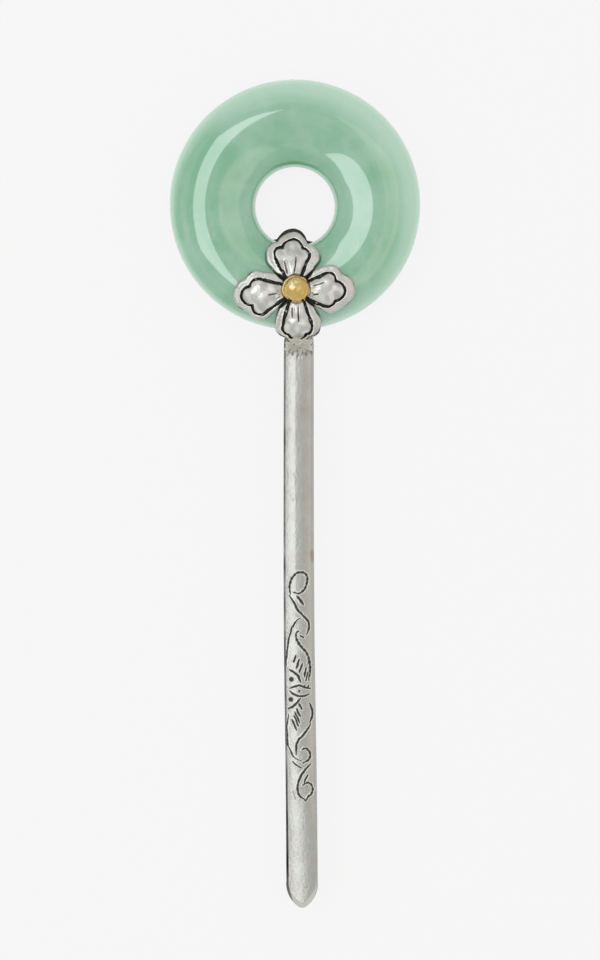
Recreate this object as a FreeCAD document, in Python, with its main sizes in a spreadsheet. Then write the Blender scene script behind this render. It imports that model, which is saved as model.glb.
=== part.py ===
"""A decorative hair pin: a jade ring clasped between two cast silver flowers at the head of a silver shank.

A headed rivet runs from the back flower through the ring and the front flower into a gold bead. The lower
petals lie over the head of the shank, back and front, and are soldered to it.
The pin lies on its back: X is across it, Y runs along it from the point to the ring, and Z is up, out of the
ring's front. The origin is under the middle of the pin's box, in the plane of the rivet head's flat back.
Sizes are in millimetres. Every piece is drawn about the ring's mid-plane and then put in place.
"""
import FreeCAD, Part
import os
import re
from math import acos, asin, atan2, cos, degrees, hypot, radians, sin, sqrt, tan

import Sketcher
from FreeCAD import Placement, Rotation, Vector

SIZES = [
    # alias, value, what it is
    ("ring_outer_dia", 35.0, "outer diameter of the jade ring"),
    ("ring_hole_dia", 11.0, "diameter of its hole at the waist"),
    ("ring_thick", 7.0, "thickness at its crown"),
    ("ring_edge_rad", 2.2, "radius of its rounded inner and outer edges"),
    ("flower_below", 0.4, "distance that the flowers' centre lies below the middle of the band"),
    ("flower_turn", 4.5, "degrees that the flowers are turned about the rivet"),
    ("plate_thick", 0.85, "thickness of a flower's rim"),
    ("shoulder_side", 1.6, "distance of a shoulder lobe's centre from its petal's axis"),
    ("shoulder_rad", 1.0, "radius of a raised field's shoulder lobes"),
    ("tip_rad", 1.35, "radius of a raised field's tip lobe"),
    ("lobe_step", 1.0, "distance along the petal from the shoulder lobes to the tip lobe"),
    ("petal_lap", 2.23, "length of the lower petals' lap over the shank"),
    ("petal_clear", 0.28, "gap between their tips and the shank, filled with solder"),
    ("side_further", 0.45, "distance that the side petals reach further out than the lower ones"),
    ("back_further", 0.7, "the same for the back flower's upper petal, which is bent down less"),
    ("groove_wide", 0.42, "width of the groove round each raised field"),
    ("groove_deep", 0.4, "depth of that groove"),
    ("rim_wide", 0.66, "width of the flat rim outside the groove"),
    ("hub_rad", 3.4, "radius at which neighbouring petals part"),
    ("eye_rad", 1.2, "radius of the plain eye round the rivet's hole"),
    ("puff_rise", 0.55, "height of a raised field above the rim"),
    ("puff_rad", 6.0, "radius of that field's domed face"),
    ("rivet_dia", 1.5, "diameter of the rivet's stem"),
    ("head_dia", 3.2, "diameter of the rivet's flat head"),
    ("head_proud", 0.1, "height of that head above the back flower's raised fields"),
    ("collar_dia", 4.0, "diameter of the gold collar under the bead"),
    ("collar_thick", 0.45, "thickness of the collar"),
    ("bead_dia", 3.5, "diameter of the gold bead"),
    ("bead_rise", 2.2, "height of the bead above the collar"),
    ("bore_deep", 1.1, "depth of the bead's blind bore"),
    ("bead_aside", 0.15, "distance that the bead sits to the right of the rivet"),
    ("bead_below", 0.2, "distance that it sits towards the shank"),
    ("spot_deep", 0.2, "depth of the flat seats cut for the collar and the head"),
    ("shank_long", 80.4, "length of the shank"),
    ("neck_wide", 3.8, "width of the shank where it meets the ring"),
    ("neck_long", 1.6, "length over which the neck widens"),
    ("shoulder_wide", 4.25, "width of the shank below the neck"),
    ("shank_wide", 4.42, "width of the shank where its point begins"),
    ("shank_thick", 2.3, "thickness of the shank along its middle"),
    ("front_crown_rad", 4.7, "radius of the shank's crowned front"),
    ("back_crown_rad", 6.5, "radius of its flatter back"),
    ("point_long", 3.4, "length of its pointed end"),
    ("nose_rad", 0.9, "radius of the very end, in plan"),
    ("bevel", 0.4, "width of the bevel along its edges"),
    ("solder_bite", 0.2, "height of the solder's bank above the underside of the lower petal"),
    ("solder_toe", 0.6, "distance that the solder runs out past that petal's tip"),
    ("solder_inset", 0.25, "distance of the solder's sides inside the neck's"),
    ("seat_gap", 0.05, "gap between a flower and the ring's crown"),
    ("rivet_gap", 0.05, "gap between the rivet and its holes, on the radius"),
    ("spot_gap", 0.1, "gap round the collar and the head in their seats, on the radius"),
    ("end_gap", 0.1, "gap between the ring and the shank's end"),
    ("bore_gap", 0.05, "gap between the rivet's end and the bottom of the bead's bore"),
    ("spare", 1.0, "length by which a cutting shape reaches past what it cuts"),
]

# Sizes that follow from the driving ones, each from those above it.
DERIVED = [
    ("band_half", "(ring_outer_dia - ring_hole_dia) / 4", "half the width of the ring's band"),
    ("band_mid", "(ring_outer_dia + ring_hole_dia) / 4", "radius of the band's middle"),
    ("thick_half", "ring_thick / 2", "height of the crown above the mid-plane"),
    ("edge_rise", "thick_half - ring_edge_rad", "height of the crown above the edges' rounding"),
    ("crown_rad", "(band_half^2 + thick_half^2 - 2 * band_half * ring_edge_rad) / (2 * edge_rise)",
     "radius of the crown, tangent to both rounded edges"),
    ("crown_z", "thick_half - crown_rad", "height of the crown's centre of curvature"),
    ("shank_top", "ring_outer_dia / 2 + end_gap", "distance from the ring's centre to the shank"),
    ("flower_drop", "band_mid + flower_below", "distance from the ring's centre to the flowers' centre"),
    ("petal_edge", "tip_rad + groove_wide + rim_wide", "outer radius of a petal's tip"),
    ("long_reach", "shank_top + petal_lap - flower_drop - petal_edge", "distance from the flower's centre "
     "to the tip lobes of the upper and lower petals"),
    ("side_reach", "long_reach + side_further", "the same for the side petals"),
    ("back_reach", "long_reach + back_further", "the same for the back flower's upper petal"),
    ("tip_out", "shank_top + petal_lap - band_mid", "distance of a lower petal's tip from the band's middle"),
    ("tip_rise", "shank_thick / 2 + petal_clear - crown_z", "its height above the crown's centre"),
    ("slope", "(atan2(tip_out; tip_rise) - acos((crown_rad + seat_gap) / hypot(tip_out; tip_rise))) / 1 deg",
     "degrees that the flowers' wings fall, as tangents from the crown to those tips"),
    ("lap_z", "crown_z + (crown_rad + seat_gap) / cos(slope) - (shank_top - band_mid) * tan(slope)",
     "height of the lower petals' underside over the shank's end"),
    ("face_rad", "crown_rad + seat_gap + plate_thick", "radius of a flower's bent face"),
    ("spot_z", "thick_half + seat_gap + plate_thick - spot_deep", "height of the seats for collar and head"),
    ("mid_z", "thick_half + seat_gap + plate_thick + puff_rise + head_proud", "height of the mid-plane"),
    ("rivet_hole_dia", "rivet_dia + 2 * rivet_gap", "diameter of the rivet's holes"),
    ("shank_end", "shank_top + shank_long", "distance from the ring's centre to the point"),
    ("ring_y", "(shank_end - ring_outer_dia / 2) / 2", "distance from the middle of the pin's box to the ring"),
    ("bead_z", "spot_z + collar_thick", "height of the bead's flat underside"),
    ("bead_rad", "((bead_dia / 2)^2 + bead_rise^2) / (2 * bead_rise)", "radius of the bead's ball"),
    ("wing", "back_reach + petal_edge + spare", "half length of the bent sheets"),
    ("dome_drop", "puff_rad - puff_rise", "depth of a field's ball centre below the rim's face"),
    ("side_peak", "side_reach - lobe_step", "distance of a side field's peak from the flower's centre"),
    ("side_away", "sqrt(side_peak^2 + flower_drop^2)", "distance of that peak from the ring's centre"),
    ("side_lean", "(side_away - band_mid) / face_rad", "sine of the face's lean under that peak"),
]

doc = FreeCAD.newDocument("hair_pin")
NAMES = {}


def in_cells(text):
    """The expression with each of the sheets' names written as its cell."""
    return re.sub(r"[a-z_]+", lambda word: NAMES.get(word.group(), word.group()), text)


def make_sheet(name, rows):
    """A spreadsheet with a named cell in each row: a number, or a formula on the names above it."""
    sheet = doc.addObject("Spreadsheet::Sheet", name)
    for number, (alias, content, meaning) in enumerate(rows, start=1):
        cell = f"={in_cells(content)}" if isinstance(content, str) else str(content)
        sheet.set(f"A{number}", meaning)
        sheet.set(f"B{number}", cell)
        sheet.setAlias(f"B{number}", alias)
        NAMES[alias] = f"{name}.{alias}"
    doc.recompute()
    return sheet


sizes = make_sheet("sizes", SIZES)
make_sheet("derived", DERIVED)


def value(text):
    """What an expression comes to, as a plain number of millimetres or degrees."""
    found = sizes.evalExpression(in_cells(text))
    return float(getattr(found, "Value", found))


def bind(thing, **expressions):
    """Binds properties to expressions, with __ standing for a dot in a property's path."""
    for path, text in expressions.items():
        thing.setExpression(path.replace("__", "."), in_cells(text))


# ---- sketching

START, END, CENTRE = 1, 2, 3
X_AXIS, Y_AXIS = -1, -2
ORIGIN = (-1, 1)


def new_body(name):
    body = doc.addObject("PartDesign::Body", name)
    body.Label = name
    return body


def new_sketch(body, name, plane="XY_Plane"):
    """A sketch on one of the body's own origin planes."""
    sketch = body.newObject("Sketcher::SketchObject", name)
    support = next(f for f in body.Origin.OriginFeatures if f.Role == plane)
    sketch.AttachmentSupport = [(support, "")]
    sketch.MapMode = "FlatFace"
    return sketch


def fix(sketch, kind, *where, to=None):
    """Adds a constraint. to is the expression that its size is bound to."""
    if to is None:
        sketch.addConstraint(Sketcher.Constraint(kind, *where))
        return
    index = sketch.addConstraint(Sketcher.Constraint(kind, *where, value(to)))
    sketch.setExpression(f"Constraints[{index}]", in_cells(to))


def pin(sketch, geometry, point, x=None, y=None):
    """Fixes a point by the expressions of its coordinates. "0" puts it on an axis."""
    for kind, text, axis in (("DistanceX", x, Y_AXIS), ("DistanceY", y, X_AXIS)):
        if text == "0":
            fix(sketch, "PointOnObject", geometry, point, axis)
        elif text and value(text) > 0:
            fix(sketch, kind, *ORIGIN, geometry, point, to=text)
        elif text:
            fix(sketch, kind, geometry, point, *ORIGIN, to=f"-({text})")


def line(sketch, start, end):
    return sketch.addGeometry(Part.LineSegment(Vector(*start, 0), Vector(*end, 0)))


def arc(sketch, centre, radius, first, last):
    """An arc about a centre, anticlockwise from the first angle to the last, in degrees."""
    circle = Part.Circle(Vector(*centre, 0), Vector(0, 0, 1), radius)
    return sketch.addGeometry(Part.ArcOfCircle(circle, radians(first), radians(last)))


def join(sketch, *joints):
    """Joins the end of each piece of geometry to the start of another."""
    for one, other in joints:
        fix(sketch, "Coincident", one, END, other, START)


def polygon(sketch, corners):
    """A closed outline of straight lines, with each corner given by the expressions of its coordinates."""
    points = [(value(x), value(y)) for x, y in corners]
    lines = [line(sketch, a, b) for a, b in zip(points, points[1:] + points[:1])]
    join(sketch, *zip(lines, lines[1:] + lines[:1]))
    for side, (x, y) in zip(lines, corners):
        pin(sketch, side, START, x, y)


def disc(sketch, diameter, x="0", y="0"):
    shape = Part.Circle(Vector(value(x), value(y), 0), Vector(0, 0, 1), value(diameter) / 2)
    circle = sketch.addGeometry(shape)
    pin(sketch, circle, CENTRE, x, y)
    fix(sketch, "Diameter", circle, to=diameter)


# ---- features of a body


def check(sketch):
    """Stops the build if a sketch's constraints disagree or repeat each other."""
    solved = sketch.solve()
    assert solved == 0, f"{sketch.Name} does not solve ({solved})"


def pad(body, sketch, name, length):
    """Pads a sketch by half the length to either side of its plane."""
    check(sketch)
    feature = body.newObject("PartDesign::Pad", name)
    feature.Profile = sketch
    feature.SideType = "Symmetric"
    bind(feature, Length=length)
    doc.recompute()
    return feature


def turn(body, sketch, name):
    """Revolves a sketch drawn on the XZ plane all the way round the Z axis."""
    check(sketch)
    feature = body.newObject("PartDesign::Revolution", name)
    feature.Profile = sketch
    feature.ReferenceAxis = (sketch, ["V_Axis"])
    feature.Angle = 360
    doc.recompute()
    return feature


def pocket(body, sketch, name):
    """Cuts a sketch right through the body, to both sides of its plane, and checks that it cuts something."""
    before = body.Shape.Volume
    check(sketch)
    feature = body.newObject("PartDesign::Pocket", name)
    feature.Profile = sketch
    feature.SideType = "Symmetric"
    feature.Type = "ThroughAll"
    doc.recompute()
    assert body.Shape.Volume < before - 1e-6, f"{name} cuts nothing"
    return feature


def combine(kind, name, base, tool):
    """A Part boolean, Cut, Common or Fuse, of two objects."""
    result = doc.addObject(f"Part::{kind}", name)
    result.Base = base
    result.Tool = tool
    doc.recompute()
    if kind == "Cut":
        assert result.Shape.Volume < base.Shape.Volume - 1e-6, f"{name} cuts nothing"
    assert result.Shape.Volume > 1e-6, f"{name} is empty"
    return result


def cylinder(name, radius, bottom, height):
    """A cylinder that stands on the flower's centre."""
    post = doc.addObject("Part::Cylinder", name)
    bind(post, Radius=radius, Height=height, Placement__Base__y="-flower_drop", Placement__Base__z=bottom)
    return post


# ---- the jade ring


def make_ring():
    """Four tangent arcs, a crown above and below and a rounded edge inside and outside, turned about Z."""
    body = new_body("jade_ring")
    sketch = new_sketch(body, "ring_section", "XZ_Plane")
    middle, crown, edge = value("band_mid"), value("crown_rad"), value("ring_edge_rad")
    crown_z, reach = value("crown_z"), value("band_half - ring_edge_rad")
    lean = degrees(atan2(reach, -crown_z))
    top = arc(sketch, (middle, crown_z), crown, 90 - lean, 90 + lean)
    inner = arc(sketch, (middle - reach, 0), edge, 90 + lean, 270 - lean)
    bottom = arc(sketch, (middle, -crown_z), crown, 270 - lean, 270 + lean)
    outer = arc(sketch, (middle + reach, 0), edge, 270 + lean, 450 - lean)
    for one, other in ((top, inner), (inner, bottom), (bottom, outer), (outer, top)):
        fix(sketch, "Tangent", one, END, other, START)
    pin(sketch, inner, CENTRE, "band_mid - band_half + ring_edge_rad", "0")
    pin(sketch, outer, CENTRE, "band_mid + band_half - ring_edge_rad", "0")
    for curve in (top, bottom):
        fix(sketch, "Radius", curve, to="crown_rad")
    for curve in (inner, outer):
        fix(sketch, "Radius", curve, to="ring_edge_rad")
    turn(body, sketch, "ring_turned")
    hole = new_sketch(body, "ring_rivet_hole")
    disc(hole, "rivet_hole_dia", y="-flower_drop")
    pocket(body, hole, "ring_drilled")
    return body


# ---- the flowers


def draw_petal(sketch, edge, reach):
    """One petal along +Y: the sides of its neck, two shoulder lobes and a tip lobe, all grown by edge."""
    side, along, tip = value("shoulder_side"), value(f"{reach} - lobe_step"), value(reach)
    lobe, end_lobe = value(f"shoulder_rad + {edge}"), value(f"tip_rad + {edge}")
    towards = degrees(atan2(along, side))
    touch = towards - degrees(asin(lobe / hypot(side, along)))
    foot = sqrt(side**2 + along**2 - lobe**2)
    apart = hypot(side, tip - along)
    swing = degrees(acos((lobe**2 + apart**2 - end_lobe**2) / (2 * lobe * apart)))
    notch = degrees(atan2(tip - along, -side)) - swing
    notch_x = side + lobe * cos(radians(notch))
    notch_y = along + lobe * sin(radians(notch)) - tip
    tip_from = degrees(atan2(notch_y, notch_x))
    tangent = (foot * cos(radians(touch)), foot * sin(radians(touch)))
    right_side = line(sketch, (0, 0), tangent)
    right = arc(sketch, (side, along), lobe, touch - 90, notch)
    end = arc(sketch, (0, tip), end_lobe, tip_from, 180 - tip_from)
    left = arc(sketch, (-side, along), lobe, 180 - notch, 270 - touch)
    left_side = line(sketch, (-tangent[0], tangent[1]), (0, 0))
    fix(sketch, "Tangent", right_side, END, right, START)
    fix(sketch, "Tangent", left, END, left_side, START)
    join(sketch, (right, end), (end, left), (left_side, right_side))
    fix(sketch, "Coincident", right_side, START, *ORIGIN)
    pin(sketch, right, CENTRE, "shoulder_side", f"{reach} - lobe_step")
    pin(sketch, left, CENTRE, "-shoulder_side", f"{reach} - lobe_step")
    pin(sketch, end, CENTRE, "0", reach)
    fix(sketch, "Radius", right, to=f"shoulder_rad + {edge}")
    fix(sketch, "Radius", left, to=f"shoulder_rad + {edge}")
    fix(sketch, "Radius", end, to=f"tip_rad + {edge}")


def make_petals(name, edge, upper_reach, tilt, hub):
    """A prism of four petals round a hub, the side ones as a pair. Every outline is grown by edge."""
    body = new_body(name)
    bind(body, Placement__Base__y="-flower_drop", Placement__Rotation__Angle=tilt)
    petals = (("upper", upper_reach, 0, 1), ("lower", "long_reach", 180, 1), ("side", "side_reach", 90, 2))
    for place, reach, angle, count in petals:
        sketch = new_sketch(body, f"{name}_{place}_petal")
        sketch.AttachmentOffset = Placement(Vector(), Rotation(Vector(0, 0, 1), angle))
        draw_petal(sketch, edge, reach)
        petal = pad(body, sketch, f"{name}_{place}_pad", "4 * ring_thick")
        if count > 1:
            pattern = body.newObject("PartDesign::PolarPattern", f"{name}_{place}_pattern")
            pattern.Originals = [petal]
            pattern.Axis = (sketch, ["N_Axis"])
            pattern.Angle = 360
            pattern.Occurrences = count
            body.Tip = pattern
            doc.recompute()
    sketch = new_sketch(body, f"{name}_hub")
    disc(sketch, f"2 * ({hub})")
    pad(body, sketch, f"{name}_hub_pad", "4 * ring_thick")
    return body


def make_bent_sheet(name, low, high):
    """A sheet bent to the ring's crown, with straight wings, from low to high above where a flower sits."""
    body = new_body(name)
    sketch = new_sketch(body, f"{name}_section", "XZ_Plane")
    middle, crown_z, slope = value("band_mid"), value("crown_z"), radians(value("slope"))
    faces = []
    for level in (low, high):
        radius_text = f"(crown_rad + seat_gap + {level})"
        radius = value(radius_text)
        top, half = crown_z + radius * cos(slope), radius * sin(slope)
        bend = arc(sketch, (middle, crown_z), radius, 90 - degrees(slope), 90 + degrees(slope))
        pin(sketch, bend, CENTRE, "band_mid", "crown_z")
        fix(sketch, "Radius", bend, to=radius_text)
        wings = []
        for side, end in ((1, START), (-1, END)):
            sign = "+" if side > 0 else "-"
            tip_x = f"flower_drop {sign} wing"
            fall = (abs(value(tip_x) - middle) - half) * tan(slope)
            wing = line(sketch, (middle + side * half, top), (value(tip_x), top - fall))
            fix(sketch, "Tangent", bend, end, wing, START)
            pin(sketch, bend, end, x=f"band_mid {sign} {radius_text} * sin(slope)")
            pin(sketch, wing, END, x=tip_x)
            wings.append((wing, (value(tip_x), top - fall)))
        faces.append(wings)
    for (low_wing, low_tip), (high_wing, high_tip) in zip(*faces):
        cap = line(sketch, low_tip, high_tip)
        fix(sketch, "Coincident", cap, START, low_wing, END)
        fix(sketch, "Coincident", cap, END, high_wing, END)
    turn(body, sketch, f"{name}_turned")
    return body


def make_balls(name, upper_reach, tilt):
    """Four balls whose tops stand puff_rise above the sheet's face, one at the middle of each field."""
    spots = []
    for sign, far, reach in (("+", "-", upper_reach), ("-", "+", "long_reach")):
        along = f"({reach} - lobe_step)"
        y = f"{sign}1 * ({along} - sin(slope) * dome_drop)"
        on_face = f"crown_z + face_rad / cos(slope) - abs(flower_drop {far} {along} - band_mid) * tan(slope)"
        spots.append(("0", y, f"{on_face} - cos(slope) * dome_drop"))
    for sign in "+-":
        x = f"{sign}1 * side_peak * (1 - side_lean * dome_drop / side_away)"
        y = "flower_drop * side_lean * dome_drop / side_away"
        spots.append((x, y, "crown_z + (face_rad - dome_drop) * sqrt(1 - side_lean^2)"))
    balls = []
    for number, (x, y, z) in enumerate(spots):
        ball = doc.addObject("Part::Sphere", f"{name}_{number}")
        bind(ball, Radius="puff_rad", Placement__Base__x=x, Placement__Base__y=y, Placement__Base__z=z)
        balls.append(ball)
    group = doc.addObject("Part::MultiFuse", name)
    group.Shapes = balls
    bind(group, Placement__Base__y="-flower_drop", Placement__Rotation__Angle=tilt)
    doc.recompute()
    return group


def make_flower(name, upper_reach, tilt, seat_dia):
    """A bent plate of four petals, dished inside a rim, with a raised and domed field on each petal."""
    rim = make_petals(f"{name}_rims", "groove_wide + rim_wide", upper_reach, tilt, "hub_rad")
    groove = make_petals(f"{name}_grooves", "groove_wide", upper_reach, tilt, "eye_rad + groove_wide / 2")
    field = make_petals(f"{name}_fields", "0", upper_reach, tilt, "eye_rad")
    over = "plate_thick + puff_rise + spare"
    plate_sheet = make_bent_sheet(f"{name}_plate_sheet", "0", "plate_thick")
    groove_sheet = make_bent_sheet(f"{name}_groove_sheet", "plate_thick - groove_deep", over)
    low_sheet = make_bent_sheet(f"{name}_low_sheet", "plate_thick / 4", "plate_thick")
    high_sheet = make_bent_sheet(f"{name}_high_sheet", "plate_thick / 2", over)
    plate = combine("Common", f"{name}_plate", rim, plate_sheet)
    dish = combine("Common", f"{name}_dish", groove, groove_sheet)
    dished = combine("Cut", f"{name}_dished", plate, dish)
    domes = combine("Common", f"{name}_domes", make_balls(f"{name}_balls", upper_reach, tilt), high_sheet)
    domed_sheet = combine("Fuse", f"{name}_domed_sheet", low_sheet, domes)
    fields = combine("Common", f"{name}_raised_fields", field, domed_sheet)
    casting = combine("Fuse", f"{name}_casting", dished, fields)
    seat = cylinder(f"{name}_seat", f"{seat_dia} / 2 + spot_gap", "spot_z", over)
    seated = combine("Cut", f"{name}_seated", casting, seat)
    hole = cylinder(f"{name}_hole", "rivet_hole_dia / 2", "0", "mid_z + spare")
    return combine("Cut", name, seated, hole)


# ---- the rivet, its collar and the bead


def make_turned(name, corners):
    """A solid turned about Z from a closed outline of (radius, height) corners."""
    body = new_body(name)
    sketch = new_sketch(body, f"{name}_section", "XZ_Plane")
    polygon(sketch, corners)
    turn(body, sketch, f"{name}_turned")
    return body


def make_rivet():
    """A stem with a flat head at the back, which ends inside the bead."""
    top = "bead_z + bore_deep - bore_gap"
    return make_turned("rivet", [
        ("0", "-mid_z"), ("head_dia / 2", "-mid_z"), ("head_dia / 2", "-spot_z"),
        ("rivet_dia / 2", "-spot_z"), ("rivet_dia / 2", top), ("0", top),
    ])


def make_collar():
    """A flat ring that the bead stands on."""
    inner, outer = "rivet_hole_dia / 2", "collar_dia / 2"
    return make_turned("bead_collar", [
        (inner, "spot_z"), (outer, "spot_z"), (outer, "bead_z"), (inner, "bead_z"),
    ])


def make_bead():
    """A ball cut flat underneath, a little off the rivet's axis, with a blind bore on that axis."""
    body = new_body("gold_bead")
    sketch = new_sketch(body, "bead_section", "XZ_Plane")
    radius, rise, half = value("bead_rad"), value("bead_rise"), value("bead_dia / 2")
    foot = degrees(atan2(radius - rise, half))
    curve = arc(sketch, (0, value("bead_z + bead_rise - bead_rad")), radius, foot, 90)
    axis = line(sketch, (0, value("bead_z + bead_rise")), (0, value("bead_z")))
    base = line(sketch, (0, value("bead_z")), (half, value("bead_z")))
    join(sketch, (curve, axis), (axis, base), (base, curve))
    pin(sketch, curve, CENTRE, "0", "bead_z + bead_rise - bead_rad")
    pin(sketch, axis, START, "0")
    pin(sketch, axis, END, "0", "bead_z")
    pin(sketch, base, END, "bead_dia / 2", "bead_z")
    turn(body, sketch, "bead_turned")
    before = body.Shape.Volume
    bore = new_sketch(body, "bead_bore")
    bind(bore, AttachmentOffset__Base__z="bead_z + bore_deep")
    disc(bore, "rivet_hole_dia", "-bead_aside", "bead_below")
    drilled = body.newObject("PartDesign::Pocket", "bead_drilled")
    drilled.Profile = bore
    bind(drilled, Length="bore_deep + spare")
    doc.recompute()
    assert body.Shape.Volume < before - 1e-6, "bead_drilled cuts nothing"
    return body


# ---- the shank and its solder


def draw_plan(sketch):
    """The shank from the front: a neck that widens, nearly parallel sides and a point with a round nose."""
    half, nose, along = value("shank_wide / 2"), value("nose_rad"), value("point_long - nose_rad")
    big = (half**2 + along**2 - nose**2) / (2 * (half - nose))
    lean = degrees(atan2(along, big - half))
    point_y, nose_y = -value("shank_end - point_long"), -value("shank_end - nose_rad")
    neck, shoulder = value("neck_wide / 2"), value("shoulder_wide / 2")
    top_y, shoulder_y = -value("shank_top"), -value("shank_top + neck_long")
    top = line(sketch, (neck, top_y), (-neck, top_y))
    left_neck = line(sketch, (-neck, top_y), (-shoulder, shoulder_y))
    left_side = line(sketch, (-shoulder, shoulder_y), (-half, point_y))
    left_point = arc(sketch, (big - half, point_y), big, 180, 180 + lean)
    tip = arc(sketch, (0, nose_y), nose, 180 + lean, 360 - lean)
    right_point = arc(sketch, (half - big, point_y), big, 360 - lean, 360)
    right_side = line(sketch, (half, point_y), (shoulder, shoulder_y))
    right_neck = line(sketch, (shoulder, shoulder_y), (neck, top_y))
    join(sketch, (top, left_neck), (left_neck, left_side), (right_side, right_neck), (right_neck, top))
    chain = (left_side, left_point, tip, right_point, right_side)
    for one, other in zip(chain, chain[1:]):
        fix(sketch, "Tangent", one, END, other, START)
    pin(sketch, top, START, "neck_wide / 2", "-shank_top")
    pin(sketch, top, END, "-neck_wide / 2", "-shank_top")
    pin(sketch, left_neck, END, "-shoulder_wide / 2", "-shank_top - neck_long")
    pin(sketch, right_neck, START, "shoulder_wide / 2", "-shank_top - neck_long")
    pin(sketch, left_side, END, "-shank_wide / 2", "point_long - shank_end")
    pin(sketch, right_side, START, "shank_wide / 2", "point_long - shank_end")
    pin(sketch, tip, CENTRE, "0", "nose_rad - shank_end")
    fix(sketch, "Radius", tip, to="nose_rad")


def draw_above_crown(sketch, crown, side):
    """What lies outside a crowned face. side is 1 for the front and -1 for the back."""
    sign = "" if side > 0 else "-"
    radius, wide = value(crown), value("shank_wide / 2 + spare")
    centre = side * value(f"shank_thick / 2 - {crown}")
    clear = side * value("shank_thick / 2 + spare")
    foot = centre + side * sqrt(radius**2 - wide**2)
    lean = degrees(asin(wide / radius))
    middle = 90 * side
    curve = arc(sketch, (0, centre), radius, middle - lean, middle + lean)
    first, last = (wide * side, foot), (-wide * side, foot)
    far_last, far_first = (-wide * side, clear), (wide * side, clear)
    down = line(sketch, last, far_last)
    across = line(sketch, far_last, far_first)
    up = line(sketch, far_first, first)
    join(sketch, (curve, down), (down, across), (across, up), (up, curve))
    pin(sketch, curve, CENTRE, "0", f"{sign}(shank_thick / 2 - {crown})")
    fix(sketch, "Radius", curve, to=crown)
    fix(sketch, "Vertical", down)
    fix(sketch, "Vertical", up)
    reach, height = "(shank_wide / 2 + spare)", f"{sign}(shank_thick / 2 + spare)"
    pin(sketch, down, END, f"{'-' if side > 0 else ''}{reach}", height)
    pin(sketch, across, END, f"{sign}{reach}", height)


def outline_edges(shape):
    """The names of the edges where the shank's crowned faces meet its sides."""
    names = []
    top = -value("shank_top")
    for number, edge in enumerate(shape.Edges, start=1):
        box = edge.BoundBox
        across_top = box.YMin > top - 1e-4
        upright = box.XLength < 1e-4 and box.YLength < 1e-4
        if not across_top and not upright:
            names.append(f"Edge{number}")
    return names


def make_shank():
    """A flat bar, crowned on the front and less on the back, with bevelled edges and a pointed end."""
    body = new_body("shank")
    plan = new_sketch(body, "shank_plan")
    draw_plan(plan)
    pad(body, plan, "shank_pad", "shank_thick")
    for name, crown, side in (("front_crown", "front_crown_rad", 1), ("back_crown", "back_crown_rad", -1)):
        sketch = new_sketch(body, f"{name}_section", "XZ_Plane")
        draw_above_crown(sketch, crown, side)
        crowned = pocket(body, sketch, name)
    before = body.Shape.Volume
    bevels = body.newObject("PartDesign::Chamfer", "bevels")
    bevels.Base = (crowned, outline_edges(crowned.Shape))
    bind(bevels, Size="bevel")
    doc.recompute()
    assert body.Shape.Volume < before - 1e-6, "bevels cut nothing"
    return body


def make_solder(name, side, flower):
    """Solder banked between the shank's end and a flower's lowest petal, cut to fit both."""
    sign = "" if side > 0 else "-"
    body = new_body(f"{name}_bank")
    sketch = new_sketch(body, f"{name}_bank_section", "YZ_Plane")
    crest = f"{sign}(lap_z + solder_bite)"
    brow = f"{sign}(lap_z + solder_bite - petal_lap / 2 * tan(slope))"
    toe = "-shank_top - petal_lap - solder_toe"
    polygon(sketch, [
        ("-shank_top", "0"), ("-shank_top", crest), ("-shank_top - petal_lap / 2", brow),
        (toe, f"{sign}(shank_thick / 2)"), (toe, "0"),
    ])
    pad(body, sketch, f"{name}_bank_pad", "neck_wide - 2 * solder_inset")
    bank = combine("Cut", f"{name}_on_shank", put_in_place(body), shank)
    return combine("Cut", name, bank, flower)


# ---- the whole pin


def put_in_place(thing, x="0", y="ring_y"):
    """Moves a piece from where it is drawn, about the ring's mid-plane, to where it lies on the table."""
    bind(thing, Placement__Base__x=x, Placement__Base__y=y, Placement__Base__z="mid_z")
    doc.recompute()
    return thing


ring = put_in_place(make_ring())
front_flower = put_in_place(make_flower("front_flower", "long_reach", "flower_turn", "collar_dia"))
back_flower = make_flower("back_flower", "back_reach", "-flower_turn", "head_dia")
back_flower.Placement = Placement(Vector(), Rotation(Vector(0, 1, 0), 180))
put_in_place(back_flower)
rivet = put_in_place(make_rivet(), y="ring_y - flower_drop")
collar = put_in_place(make_collar(), y="ring_y - flower_drop")
bead = put_in_place(make_bead(), x="bead_aside", y="ring_y - flower_drop - bead_below")
shank = put_in_place(make_shank())
front_solder = make_solder("front_solder", 1, front_flower)
back_solder = make_solder("back_solder", -1, back_flower)
pieces = [ring, front_flower, back_flower, rivet, collar, bead, shank, front_solder, back_solder]

doc.recompute()
for thing in doc.Objects:
    assert not {"Invalid", "Error"} & set(thing.State), f"{thing.Name} is {thing.State}"
for piece in pieces:
    assert not piece.Shape.isNull() and piece.Shape.isValid(), f"{piece.Label} is not a sound shape"
    assert len(piece.Shape.Solids) == 1, f"{piece.Label} is in {len(piece.Shape.Solids)} solids"

os.makedirs("parts", exist_ok=True)
for piece in pieces:
    piece.Shape.exportStep(f"parts/{piece.Label}.step")
    box = piece.Shape.BoundBox
    print(f"{piece.Label}: x {box.XMin:.2f}..{box.XMax:.2f} y {box.YMin:.2f}..{box.YMax:.2f} "
          f"z {box.ZMin:.2f}..{box.ZMax:.2f} volume {piece.Shape.Volume:.1f}")
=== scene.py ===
# %% [markdown]
# # A hair pin of jade, silver and gold
# A ring of green jade is clasped between two cast silver flowers. A rivet goes through all three and ends in a gold
# bead, and the lowest petals are soldered over the head of an engraved silver shank. Each piece here is a surface
# worked out with numpy, and each finish a small tree of shader nodes. Lengths are in millimetres and go into the
# meshes in metres.

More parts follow.
